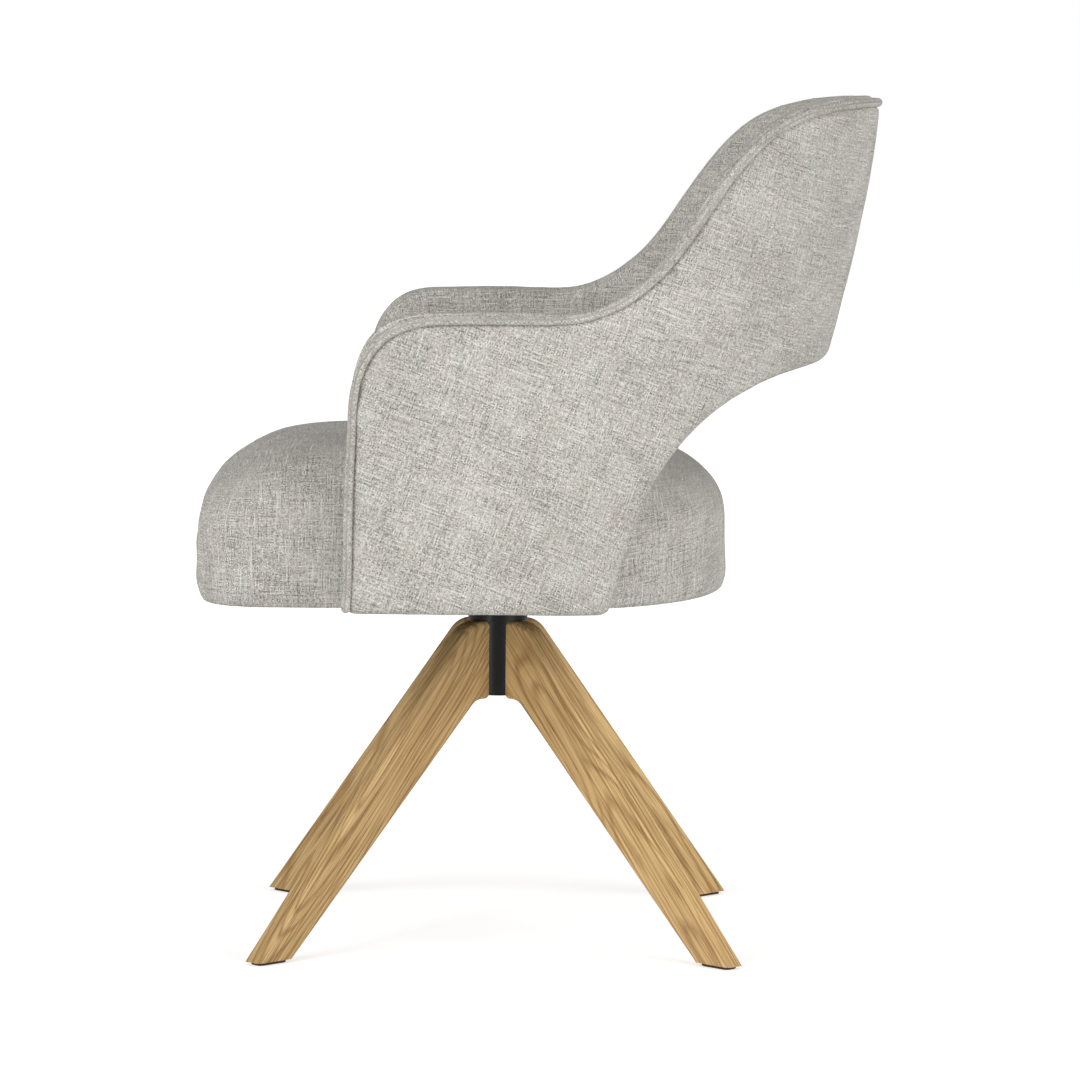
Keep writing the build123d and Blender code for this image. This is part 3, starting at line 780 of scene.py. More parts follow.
@dataclass
class BackUpholstery:
    """Cloth and padding of the one-piece back with its arms, and the piping between its covers.

    Attributes:
        half_width: Middle of the chair to the outside of an arm.
        wall: Thickness of the padded wall.
        straight: The arms run straight to here behind the swivel axis, then bend.
        reach: Swivel axis to the outside of the back at its top.
        lean: How far the foot of the back's curve lies in front of its top.
        lean_power: How fast it leans.
        middle: Height at which the cloth's lengths are measured.
        voxel: Size of the mesh that the soft form is made with.
        fine_reach: The mesh is finer this near to the seam.
        tuck: The outer cover wraps this far round the lower edges, past the panel.
        outer_turn_in: How deep the outer cover turns in at the piping, and how soon it does.
        inner_turn_in: The same for the inner cover.
        layers: Height, size and seed of each layer of the cloth's unevenness.
        cover: Thickness of the cloth.
        strip_edge: The strip of cloth round the rims ends this far short of the inner face.
        strip_turn: The strips under the lower edges turn in steps of this angle, in degrees.
        slant: Angle of the outer cover's threads on the arms, in degrees.
        slant_run: The slant builds up over this length from the middle of the back.
        cord_radius: Radius of the piping.
        cord_step: Distance between the piping's rings.
        cord_sides: Number of sides of the piping's rings.
        cord_drop: The piping ends this far under the arms.
        arm_top: Floor to the top of the arms.
        corner_drop: Height of the round at the front corner of an arm.
        edge_shift: Up an arm's front, the piping sits this much nearer the edge.
    """

    half_width: float = 0.295
    wall: float = 0.046
    straight: float = 0.060
    reach: float = 0.367
    lean: float = 0.119
    lean_power: float = 1.4
    middle: float = 0.6
    voxel: float = 0.004
    fine_reach: float = 0.011
    tuck: float = 0.022
    outer_turn_in: tuple[float, float] = (0.0013, 0.0022)
    inner_turn_in: tuple[float, float] = (0.0008, 0.0030)
    layers: tuple[tuple[float, float, int], ...] = ((0.0003, 0.07, 4), (0.00012, 0.022, 5))
    cover: float = 0.0014
    strip_edge: float = 0.011
    strip_turn: float = 15.0
    slant: float = 20.0
    slant_run: float = 0.42
    cord_radius: float = 0.0042
    cord_step: float = 0.004
    cord_sides: int = 14
    cord_drop: float = 0.0005
    arm_top: float = 0.619
    corner_drop: float = 0.100
    edge_shift: float = 0.0062

    def __post_init__(self) -> None:
        """Read the back's heights and its outer panel from the frame."""
        low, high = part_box("inner_padding")
        self.underside = low.z
        self.top = high.z
        self.panel = surface_tree("outer_panel")

    def depth(self, height: Array) -> Array:
        """Bend's depth at a height, from where the arms end to the outside of the back."""
        drop = np.clip((self.top - height) / (self.top - self.underside), 0, None)
        return self.reach - self.lean * drop ** self.lean_power - self.straight

    def outward(self, where: Array) -> Array:
        """Level direction out of the wall at each place."""
        behind = np.clip(where[:, 1] - AXIS_Y - self.straight, 0, None)
        across = where[:, 0] / self.half_width ** 2
        return unit(np.stack([across, behind / self.depth(where[:, 2]) ** 2, np.zeros(len(where))], axis=1))

    def way_round(self, where: Array) -> Array:
        """Distance of each place round the wall from the middle of the back, minus on the right."""
        behind = where[:, 1] - AXIS_Y - self.straight
        across = np.abs(where[:, 0]) / self.half_width
        turn = np.arctan2(across, np.clip(behind, 0, None) / self.depth(where[:, 2]))
        middle_depth = float(self.depth(np.array([self.middle]))[0])
        bend = quarter_run(turn, self.half_width, middle_depth, 200)
        return np.sign(where[:, 0]) * (bend + np.clip(-behind, 0, None))

    def seam(self, points: Array) -> Seam:
        """Make the seam along a line of points on the wall."""
        along = unit(np.gradient(points, axis=0))
        out = self.outward(points)
        out = unit(out - along * (out * along).sum(axis=1, keepdims=True))
        reached = running_total(np.linalg.norm(np.diff(points, axis=0), axis=1))
        tree = KDTree(len(points))
        for index, point in enumerate(points):
            tree.insert(point, index)
        tree.balance()
        return Seam(points, along, out, np.cross(along, out), reached, tree)

    def cord_middle(self) -> Array:
        """Follow the middle of the frame's piping from the foot of one arm to that of the other."""
        tree = surface_tree("piping")
        where = places(frame["nodes"]["piping"].data)
        slice_height, rays, rounds = 0.0006, 12, 12
        end_face = where[:, 2] < where[:, 2].min() + slice_height
        middle = [Vector(where[(where[:, 0] > 0) & end_face].mean(axis=0))]
        heading = Vector((0, 0, 1))
        while True:
            guess = middle[-1] + heading * self.cord_step
            side = heading.orthogonal().normalized()
            other = heading.cross(side)
            hits = []
            for ray in range(rays):
                turn = 2 * pi * ray / rays
                hit = tree.ray_cast(guess, side * cos(turn) + other * sin(turn), 3 * self.cord_radius)[0]
                if hit is not None:
                    hits.append(hit)
            if len(hits) < rays:
                break
            centre = sum(hits, Vector()) / rays
            heading = (centre - middle[-1]).normalized()
            middle.append(centre)
        line = np.array(middle)
        return relaxed(line[line[:, 2] > self.underside - self.cord_drop], rounds)

    def edged_forward(self, seam: Seam, form: Piece) -> Array:
        """Line of the piping, moved over the surface to the very edge up the front of each arm.

        Args:
            seam: The seam as the frame has it.
            form: The padded form under it.

        Returns:
            The moved line.
        """
        line = seam.points
        up_corner = np.clip((line[:, 2] - (self.arm_top - self.corner_drop)) / self.corner_drop, 0, 1)
        share = (line[:, 1] < AXIS_Y) * (1 - smooth_step(up_corner))
        tree = BVHTree.FromObject(form, bpy.context.evaluated_depsgraph_get())
        moved = line.copy()
        for index in np.flatnonzero(share > 0):
            start = Vector(line[index])
            under, facing = tree.find_nearest(start)[:2]
            proud = (start - under).dot(facing)
            shifted = start - Vector(seam.into[index]) * float(share[index] * self.edge_shift)
            under, facing = tree.find_nearest(shifted)[:2]
            moved[index] = under + facing * proud
        return relaxed(moved, 6)

    def padded_form(self) -> Piece:
        """Soft closed form over all the solids of the wall."""
        solids = ["outer_panel", "inner_padding", "back_core"]
        solids += ["arm_block_left", "arm_block_right", "arm_tee_nuts"]
        form = union_of("back_form", solids)
        finish_modifier(form, "REMESH", mode="VOXEL", voxel_size=self.voxel)
        keep_outer_shell(form)
        finish_modifier(form, "SMOOTH", factor=0.5, iterations=7)
        return form

    def refine_seam(self, form: Piece, seam: Seam) -> None:
        """Halve the mesh twice near the seam, so that the cloth can turn in there."""
        sheet = bmesh.new()
        sheet.from_mesh(form.data)
        for width in (self.fine_reach + self.voxel, self.fine_reach):
            near = [vert for vert in sheet.verts if seam.tree.find(vert.co)[2] < width]
            faces = {face for vert in near for face in vert.link_faces}
            edges = {edge for face in faces for edge in face.edges}
            bmesh.ops.subdivide_edges(sheet, edges=list(edges), cuts=1, use_grid_fill=True)
        bmesh.ops.triangulate(sheet, faces=[face for face in sheet.faces if len(face.verts) > 4])
        sheet.to_mesh(form.data)
        sheet.free()

    def tuck_in(self, form: Piece, seam: Seam) -> None:
        """Turn the cloth in along both sides of the piping, and let it swell a little elsewhere."""
        where = places(form.data)
        nearest, away, below = seam.locate(where)
        beside = np.clip(np.abs(below) - self.cord_radius, 0, None)
        turn_in = np.zeros(len(where))
        for (deep, width), on_cover in ((self.outer_turn_in, below > 0), (self.inner_turn_in, below <= 0)):
            turn_in += deep * np.exp(-(beside / width) ** 2) * on_cover
        from_panel, from_seam = 0.006, 0.02
        at_seam = distances(self.panel, where) < from_panel
        at_seam &= np.linalg.norm(away, axis=1) < from_seam
        moved = where - seam.out[nearest] * (turn_in * at_seam)[:, None]
        moved += directions(form.data) * unevenness(where, self.layers)[:, None]
        move_to(form.data, moved)

    def split_at_seam(self, form: Piece, seam: Seam) -> list[Mesh]:
        """Cut the form along the seam and under its lower edges.

        Args:
            form: The closed form.
            seam: The seam.

        Returns:
            Meshes of the outer and the inner cover.
        """
        where = places(form.data)
        sides = np.minimum(seam.locate(where)[2], self.tuck - distances(self.panel, where))
        sheet = bmesh.new()
        sheet.from_mesh(form.data)
        # Over 0 on the outer cover's vertices and under 0 on the inner cover's.
        mark = sheet.verts.layers.float.new("side")
        for vert, side in zip(sheet.verts, sides):
            vert[mark] = side
        close = 0.2
        for edge in sheet.edges:
            low, high = edge.verts
            if low[mark] * high[mark] < 0:
                share = low[mark] / (low[mark] - high[mark])
                if share < close or share > 1 - close:
                    nearer = low if share < close else high
                    nearer.co = low.co.lerp(high.co, share)
                    nearer[mark] = 0.0
        for edge in list(sheet.edges):
            low, high = edge.verts
            if low[mark] * high[mark] < 0:
                share = low[mark] / (low[mark] - high[mark])
                _, new = bmesh.utils.edge_split(edge, low, share)
                new[mark] = 0.0
        bmesh.ops.connect_verts(sheet, verts=[vert for vert in sheet.verts if vert[mark] == 0.0])
        halves = []
        for name, sign in (("outer_cover", 1), ("inner_cover", -1)):
            half = sheet.copy()
            level = half.verts.layers.float["side"]
            lost = [face for face in half.faces if sign * sum(vert[level] for vert in face.verts) < 0]
            bmesh.ops.delete(half, geom=lost, context="FACES")
            bmesh.ops.triangulate(half, faces=[face for face in half.faces if len(face.verts) > 4])
            mesh = bpy.data.meshes.new(name)
            half.to_mesh(mesh)
            half.free()
            halves.append(mesh)
        sheet.free()
        return halves

    def outer_map(self, where: Array) -> Array:
        """Places on the outer cover's cloth: level behind the back, slanting along the arms."""
        round_to = self.way_round(where)
        reach = np.linspace(0, 1.0, 500)
        slope = radians(self.slant) * smooth_step(np.clip(reach / self.slant_run, 0, 1))
        step = reach[1]
        run = running_total(np.cos(slope[1:]) * step)
        fall = -running_total(np.sin(slope[1:]) * step)
        far = np.abs(round_to)
        lean = np.interp(far, reach, slope)
        height = where[:, 2] - self.middle
        across = np.sign(round_to) * (np.interp(far, reach, run) + height * np.sin(lean))
        return np.stack([across, np.interp(far, reach, fall) + height * np.cos(lean)], axis=1)

    def lay_outer_cloth(self, mesh: Mesh) -> None:
        """Map the outer cover: one cloth over the wall, and strips of it under the lower edges."""
        where = places(mesh)
        faces = FaceTable(mesh)
        corners = faces.corners
        deep = distances(self.panel, where)
        facing = table(mesh.polygons, "normal", 3)
        out = self.outward(faces.mean(where))
        # Level tangent of the wall, and where the edge runs in it and upwards.
        tangent = np.stack([-out[:, 1], out[:, 0], np.zeros(len(out))], axis=1)
        bearing = np.arctan2(-(facing * tangent).sum(axis=1), -facing[:, 2])
        step = radians(self.strip_turn)
        bearing = np.repeat(np.round(bearing / step) * step, faces.counts)
        round_to = self.way_round(where)
        strip_u = round_to[corners] * np.cos(bearing) + where[corners, 2] * np.sin(bearing)
        strip_map = np.stack([strip_u, deep[corners]], axis=1)
        # An edge's faces look neither out of the wall nor up, and lie past the panel's surface.
        outward, upward, past_panel = 0.6, 0.5, 0.0015
        on_edge = (np.abs((facing * out).sum(axis=1)) < outward) & (facing[:, 2] < upward)
        on_edge &= faces.mean(deep) > past_panel
        faces.lay(faces.choose(on_edge, strip_map, self.outer_map(where)[corners]))

    def lay_inner_cloth(self, mesh: Mesh, seam: Seam) -> None:
        """Map the inner cover: one cloth over the inner face, and a strip of it round the rims."""
        where = places(mesh)
        faces = FaceTable(mesh)
        nearest, away, _ = seam.locate(where)
        deep = distances(self.panel, where)
        beyond = (away * seam.along[nearest]).sum(axis=1)
        strip_map = np.stack([seam.reached[nearest] + beyond, deep], axis=1)
        face_map = np.stack([self.way_round(where), where[:, 2]], axis=1)
        on_strip = faces.mean(deep) < self.wall - self.strip_edge
        faces.lay(faces.choose(on_strip, strip_map[faces.corners], face_map[faces.corners]))

    def piping(self, seam: Seam) -> Piece:
        """Cloth-covered cord along the seam, with rounded ends."""
        around, last = self.cord_sides, len(seam.points) - 1
        swell = 1 + 0.025 * soft_noise(seam.points, 0.03, 11)
        # Rings of a rounded end: how far out, as a share of the end's length, and how wide.
        end_length = 0.6 * self.cord_radius
        ends = [(0.98, 0.25), (0.85, 0.55), (0.5, 0.87)]
        stations = [(0, -far * end_length, size) for far, size in ends]
        stations += [(index, 0.0, 1.0) for index in range(last + 1)]
        stations += [(last, far * end_length, size) for far, size in reversed(ends)]
        rings, marks = [], []
        for index, lift, size in stations:
            centre = seam.points[index] + seam.along[index] * lift
            reach = self.cord_radius * size * swell[index]
            for step in range(around):
                turn = 2 * pi * step / around
                rings.append(centre + reach * (seam.out[index] * cos(turn) + seam.into[index] * sin(turn)))
                marks.append((seam.reached[index] + lift, self.cord_radius * turn))
        faces = []
        for ring in range(len(stations) - 1):
            for step in range(around):
                a = ring * around + step
                b = ring * around + (step + 1) % around
                faces.append((a, a + around, b + around, b))
        faces.append(tuple(range(around)))
        faces.append(tuple(reversed(range((len(stations) - 1) * around, len(stations) * around))))
        mesh = bpy.data.meshes.new("back_piping")
        mesh.from_pydata([tuple(point) for point in rings], [], faces)
        corners = FaceTable(mesh)
        corners.lay(np.array(marks)[corners.corners])
        return new_piece("back_piping", mesh)

    def build(self, patterns: Patterns) -> list[Piece]:
        """Make and dress the covers and the piping.

        Args:
            patterns: The shared node groups.

        Returns:
            The pieces.
        """
        form = self.padded_form()
        seam = self.seam(self.edged_forward(self.seam(self.cord_middle()), form))
        LOG.info("piping: %d points, %.3f m", len(seam.points), seam.reached[-1])
        self.refine_seam(form, seam)
        self.tuck_in(form, seam)
        outer_mesh, inner_mesh = self.split_at_seam(form, seam)
        bpy.data.objects.remove(form)
        outer = new_piece("back_outer_cover", outer_mesh)
        inner = new_piece("back_inner_cover", inner_mesh)
        self.lay_outer_cloth(outer_mesh)
        self.lay_inner_cloth(inner_mesh, seam)
        for cover in (outer, inner):
            smooth_shade(cover)
            finish_modifier(cover, "SOLIDIFY", thickness=self.cover, offset=-1.0, use_even_offset=False)
        cord = self.piping(seam)
        smooth_shade(cord)
        dress(outer, ClothFinish("cloth_outer_cover", slubs=1.15).material(patterns))
        dress(inner, ClothFinish("cloth_inner_cover", shift=0.37, slubs=1.3).material(patterns))
        dress(cord, ClothFinish("cloth_piping", turn=45.0, pitch=0.0011, shift=0.81).material(patterns))
        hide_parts("outer_panel")
        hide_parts("inner_padding")
        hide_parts("piping")
        return [outer, inner, cord]


# ---------------------------------------------------------------- seat
@dataclass
class SeatUpholstery:
    """Crowned seat pad in its cloth.

    Attributes:
        voxel: Size of the mesh that the soft form is made with.
        edge_rise: The lower edge, which is smoothed once more, reaches this high.
        dust_margin: It ends this far from the dust cover.
        shrink: The pad starts this much smaller before it swells.
        swell_cap: The furthest that a point may move as the pad swells.
        pressure: Pressure inside the cloth as it swells.
        frames: Steps of the simulation.
        held_rise: The cloth is held up to this height over the underside.
        layers: Height, size and seed of each layer of the cloth's unevenness.
        uneven_from: The unevenness starts at this height over the underside.
        uneven_over: It comes in over this height.
        arm_reach: The arms reach this far in front of the swivel axis.
        arm_give: Between them the pad may be this much wider than its solid, to each side.
        recess: Depth of the opening that the dust cover closes.
        underside_blend: Below this height over its underside, the pad levels out.
        widest: Height at which the pad is widest.
        corner: Plan radius round which the cloth turns at the front corners.
        bend_start: The sides are straight to here behind the swivel axis.
        seam_turn: The front's cloth meets the side's at this angle round each front corner.
        crown_run: How far the top rounds over before it is level.
        rim_run: The top's cloth meets that of the sides over this distance from the rim.
        rim_reach: Share of the plan at which the top's cloth starts to bend, and over which it does.
        rear_rise: Rise of the threads to the length round the rear.
    """

    voxel: float = 0.005
    edge_rise: float = 0.024
    dust_margin: float = 0.012
    shrink: float = 0.0006
    swell_cap: float = 0.0014
    pressure: float = 4.0
    frames: int = 20
    held_rise: float = 0.004
    layers: tuple[tuple[float, float, int], ...] = ((0.0009, 0.13, 21), (0.0003, 0.045, 22))
    uneven_from: float = 0.02
    uneven_over: float = 0.05
    arm_reach: float = 0.15
    arm_give: float = 0.0012
    recess: float = 0.0015
    underside_blend: float = 0.004
    widest: float = 0.405
    corner: float = 0.068
    bend_start: float = 0.040
    seam_turn: float = 1.10
    crown_run: float = 0.140
    rim_run: float = 0.075
    rim_reach: tuple[float, float] = (0.45, 0.4)
    rear_rise: float = 0.13

    def __post_init__(self) -> None:
        """Read the pad's box and its dust cover from the frame."""
        low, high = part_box("seat_cover")
        self.half_width = high.x
        self.front = low.y - AXIS_Y
        self.rear = high.y - AXIS_Y
        self.underside = low.z
        self.top = high.z
        self.dust_cover = surface_tree("dust_cover")

    def form(self) -> Piece:
        """Soft closed form over the seat's solids."""
        solids = ["seat_cover", "seat_foam", "seat_board", "dust_cover"]
        solids += ["side_rail_left", "side_rail_right"]
        piece = union_of("seat_cushion", solids)
        finish_modifier(piece, "REMESH", mode="VOXEL", voxel_size=self.voxel)
        keep_outer_shell(piece)
        finish_modifier(piece, "SMOOTH", factor=0.5, iterations=5)
        where = places(piece.data)
        low = where[:, 2] < self.underside + self.edge_rise
        gather(piece, "lower_edge", low & (distances(self.dust_cover, where) > self.dust_margin))
        finish_modifier(piece, "SMOOTH", factor=0.5, iterations=5, vertex_group="lower_edge")
        return piece

    def swollen(self, piece: Piece) -> None:
        """Blow the cloth out over the foam, held at the underside, and cap how far it moves."""
        start = places(piece.data)
        smaller = start - directions(piece.data) * self.shrink
        low = start[:, 2] < self.underside + self.held_rise
        smaller[low] = start[low]
        move_to(piece.data, smaller)
        gather(piece, "held", low)
        use_only(piece)
        cloth = piece.modifiers.new("cloth", "CLOTH")
        settings = {
            "use_pressure": True,
            "uniform_pressure_force": self.pressure,
            "vertex_group_mass": "held",
            "quality": 4,
            "tension_stiffness": 20.0,
            "compression_stiffness": 20.0,
            "bending_stiffness": 0.8,
        }
        for name, value in settings.items():
            setattr(cloth.settings, name, value)
        cloth.settings.effector_weights.gravity = 0.0
        cloth.collision_settings.use_collision = False
        cloth.point_cache.frame_start = 1
        cloth.point_cache.frame_end = self.frames
        for frame_number in range(1, self.frames + 1):
            bpy.context.scene.frame_set(frame_number)
        bpy.ops.object.modifier_apply(modifier=cloth.name)
        bpy.context.scene.frame_set(1)
        moved = places(piece.data) - smaller
        length = np.linalg.norm(moved, axis=1, keepdims=True)
        moved *= np.minimum(1.0, self.swell_cap / np.maximum(length, 1e-9))
        move_to(piece.data, smaller + moved)
        finish_modifier(piece, "SMOOTH", factor=0.5, iterations=2)

    def settle(self, piece: Piece) -> None:
        """Give the cloth its slight unevenness, and fit it between the arms and over the dust cover."""
        where = places(piece.data)
        raised = np.clip((where[:, 2] - self.underside - self.uneven_from) / self.uneven_over, 0, 1)
        where = where + directions(piece.data) * (unevenness(where, self.layers) * raised)[:, None]
        clear = self.half_width + self.arm_give
        beside_arms = where[:, 1] > AXIS_Y - self.arm_reach
        where[:, 0] = np.where(beside_arms, np.clip(where[:, 0], -clear, clear), where[:, 0])
        low_rise, touching = 0.003, 0.0004
        under = where[:, 2] < self.underside + low_rise
        rise = np.clip(where[:, 2] - self.underside, 0, None)
        where[:, 2] = self.underside + rise * smooth_step(np.clip(rise / self.underside_blend, 0, 1))
        inside = under & (distances(self.dust_cover, where) < touching)
        where[inside, 2] = self.underside + self.recess
        move_to(piece.data, where)

    def plan_angles(self, where: Array) -> tuple[Array, Array]:
        """Where points lie round the seat's plan.

        Args:
            where: Points on the cushion.

        Returns:
            The angle round a front corner, from 0 on the side to a quarter turn on the front, and
            the angle round the rear, from 0 where the side ends to a quarter turn at the middle.
        """
        across, along = np.abs(where[:, 0]), where[:, 1] - AXIS_Y
        beyond = np.clip(across - self.half_width + self.corner, 1e-6, None)
        round_front = np.arctan2(np.clip(self.front + self.corner - along, 0, None), beyond)
        behind = np.clip(along - self.bend_start, 0, None)
        depth = self.rear - self.bend_start
        round_rear = np.arctan2(behind / depth, np.clip(across, 1e-6, None) / self.half_width)
        return round_front, round_rear

    def hang(self, height: Array) -> tuple[Array, Array]:
        """How the cloth falls at a height.

        Args:
            height: Heights over the floor.

        Returns:
            Cloth that has gone over the edge beyond its plan, and how far in from the rim it lies.
        """
        turns = np.linspace(0, pi / 2, 120)
        rise = (self.top - self.widest) * np.sin(turns)
        run = self.crown_run * (1 - np.cos(turns))
        length = running_total(np.hypot(np.diff(rise), np.diff(run)))
        from_top = length[-1] - length - (run[-1] - run)
        up = height - self.widest
        gone = np.where(up > 0, np.interp(up, rise, from_top), from_top[0] - up)
        return gone, np.interp(up, rise, run)

    def cloth_maps(self, where: Array) -> tuple[Array, Array]:
        """Places on the cloth, which lies flat on top and level round the sides.

        Args:
            where: Points on the cushion.

        Returns:
            Places for the sides and rear, and places for the front.
        """
        across, along = where[:, 0], where[:, 1] - AXIS_Y
        side = np.where(across < 0, -1.0, 1.0)
        round_front, round_rear = self.plan_angles(where)
        gone, inward = self.hang(where[:, 2])
        depth = self.rear - self.bend_start
        at_rear = along > self.bend_start
        at_front = along < self.front + self.corner
        # The top's cloth lies flat, and runs on outwards past the rim.
        out_x = np.where(at_rear, np.cos(round_rear), np.where(at_front, np.cos(round_front), 1.0))
        out_y = np.where(at_rear, np.sin(round_rear), np.where(at_front, -np.sin(round_front), 0.0))
        behind = np.where(at_rear, (along - self.bend_start) / depth, 0.0)
        reach = np.hypot(np.abs(across) / self.half_width, behind)
        near_rim = np.where(at_front, 1.0, np.clip((reach - self.rim_reach[0]) / self.rim_reach[1], 0, 1))
        flat = np.stack([across + gone * out_x * side * near_rim, along + gone * out_y * near_rim], axis=1)
        # The sides' cloth runs level from the front corners round the rear.
        round_y = np.where(at_front, self.front + self.corner * (1 - round_front), along)
        rear_y = self.bend_start + quarter_run(round_rear, depth, self.half_width, 100)
        round_y = np.where(at_rear, rear_y, round_y)
        out = self.half_width - inward + gone + self.rear_rise * np.clip(round_y - self.bend_start, 0, None)
        sides = np.stack([side * out, round_y], axis=1)
        # The front's cloth runs level from corner to corner.
        straight = self.half_width - self.corner
        round_x = straight + self.corner * (pi / 2 - round_front)
        round_x = np.where(np.abs(across) < straight, np.abs(across), round_x)
        fronts = np.stack([side * round_x, self.front + inward - gone], axis=1)
        share = smooth_step(np.clip(1 - inward / self.rim_run, 0, 1))[:, None]
        return flat + (sides - flat) * share, flat + (fronts - flat) * share

    def lay_cloth(self, mesh: Mesh) -> None:
        """Map the weave face by face: the front has its own cloth from each corner's seam on."""
        sides, fronts = self.cloth_maps(places(mesh))
        faces = FaceTable(mesh)
        round_front = self.plan_angles(table(mesh.polygons, "center", 3))[0]
        faces.lay(faces.choose(round_front > self.seam_turn, fronts[faces.corners], sides[faces.corners]))

    def build(self, patterns: Patterns) -> list[Piece]:
        """Make and dress the seat's cushion.

        Args:
            patterns: The shared node groups.

        Returns:
            The pieces.
        """
        piece = self.form()
        self.swollen(piece)
        self.settle(piece)
        self.lay_cloth(piece.data)
        smooth_shade(piece)
        dress(piece, ClothFinish("cloth_seat", shift=0.19, slubs=1.6).material(patterns))
        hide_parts("seat_cover", "seat_foam")
        low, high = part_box("dust_cover")
        LOG.info("dust cover spans %.3f by %.3f m", high.x - low.x, high.y - low.y)
        return [piece]


# ---------------------------------------------------------------- base and hidden parts
@dataclass
class OakLegs:
    """Oak finish of the four legs, each with its own plank's grain.

    Attributes:
        turns: Angle of each leg in plan, from +X, in degrees.
        knee: Swivel axis to the knee, and its height.
        foot: Swivel axis to the outside of the foot, and its height.
        front_painted_shade: Painted shade, the front legs' planks made darker because their seen faces get
            less light.
        rear_painted_light: Painted light, the rear legs' planks made lighter because their seen faces get
            more light.
        first_cut: Place of the first plank in the tree.
        next_cut: From one plank's place to the next one's.
    """

    turns: dict[str, float] = field(default_factory=lambda: {
        "leg_front_left": -45.0, "leg_rear_left": 45.0, "leg_rear_right": 135.0, "leg_front_right": 225.0})
    knee: tuple[float, float] = (0.0461, 0.306)
    foot: tuple[float, float] = (0.323, 0.003)
    front_painted_shade: float = 0.90
    rear_painted_light: float = 1.08
    first_cut: Vector = field(default_factory=lambda: Vector((0.012, 0.05, 0.0)))
    next_cut: Vector = field(default_factory=lambda: Vector((0.09, -0.13, 0.31)))

    def dress_all(self, patterns: Patterns) -> None:
        """Give each leg its oak."""
        fall = (self.foot[0] - self.knee[0], self.foot[1] - self.knee[1])
        for order, (node, angle) in enumerate(self.turns.items()):
            turn = radians(angle)
            along = Vector((cos(turn) * fall[0], sin(turn) * fall[0], fall[1]))
            face = Vector((-sin(turn), cos(turn), 0.0))
            origin = Vector((0.0, AXIS_Y, self.knee[1]))
            shift = self.first_cut + self.next_cut * order
            # Painted shade on the front legs and painted light on the rear ones, from how the light falls on
            # their seen faces.
            painted_lightness = self.front_painted_shade if "front" in node else self.rear_painted_light
            finish = OakFinish(f"oak_{node}", along, face, origin, shift, painted_lightness)
            dress(frame["nodes"][node], finish.material(patterns))


@dataclass
class PlainParts:
    """Finishes of the steel, plastic, board and foam parts.

    Attributes:
        finishes: Each finish with the CAD nodes that have it.
    """

    finishes: list[tuple[SpeckledFinish, tuple[str, ...]]] = field(default_factory=lambda: [
        (SpeckledFinish("powder_coat", rgb(8, 7, 5), 0.30, 0.0, 1800.0, 0.35, 0.00002, gloss=0.34),
         ("centre_tube", "hub_flange", "hub_tongues", "swivel_plate", "spindle")),
        (SpeckledFinish("zinc", rgb(196, 197, 200), 0.34, 1.0),
         ("leg_screws", "glide_pins", "plate_bolts", "seat_tee_nuts", "rail_screws", "arm_bolts",
          "arm_tee_nuts", "circlip", "retaining_washer")),
        (SpeckledFinish("acetal", rgb(226, 224, 216), 0.42),
         ("upper_bush", "lower_bush", "thrust_washer")),
        (SpeckledFinish("glide_brown", rgb(58, 42, 34), 0.62, grain=3500.0, amount=0.3),
         ("glide_front_left", "glide_front_right", "glide_rear_left", "glide_rear_right")),
        (SpeckledFinish("birch_ply", rgb(214, 184, 140), 0.7, grain=400.0, amount=0.25),
         ("seat_board", "back_core")),
        (SpeckledFinish("beech", rgb(208, 170, 124), 0.65, grain=500.0, amount=0.2),
         ("side_rail_left", "side_rail_right", "arm_block_left", "arm_block_right")),
        (SpeckledFinish("dust_cloth", rgb(38, 38, 40), 0.95, grain=1400.0, amount=0.6, relief=0.0002),
         ("dust_cover",)),
    ])

    def dress_all(self, patterns: Patterns) -> None:
        """Give each node its finish."""
        for finish, nodes in self.finishes:
            material = finish.material(patterns)
            for node in nodes:
                dress(frame["nodes"][node], material)


# ---------------------------------------------------------------- studio
@dataclass(frozen=True)
class Lamp:
    """Soft square lamp.

    Attributes:
        name: Name of the lamp.
        stand: Its place.
        size: Width of its face.
        power: Its power in watts.
    """

    name: str
    stand: tuple[float, float, float]
    size: float
    power: float

    def hang(self, aim: Vector) -> None:
        """Hang the lamp in the scene, so that it shines at a point."""
        data = bpy.data.lights.new(self.name, "AREA")
        data.shape = "SQUARE"
        data.size = self.size
        data.energy = self.power
        lamp = bpy.data.objects.new(self.name, data)
        lamp.location = self.stand
        lamp.rotation_euler = (aim - Vector(self.stand)).to_track_quat("-Z", "Y").to_euler()
        bpy.context.scene.collection.objects.link(lamp)


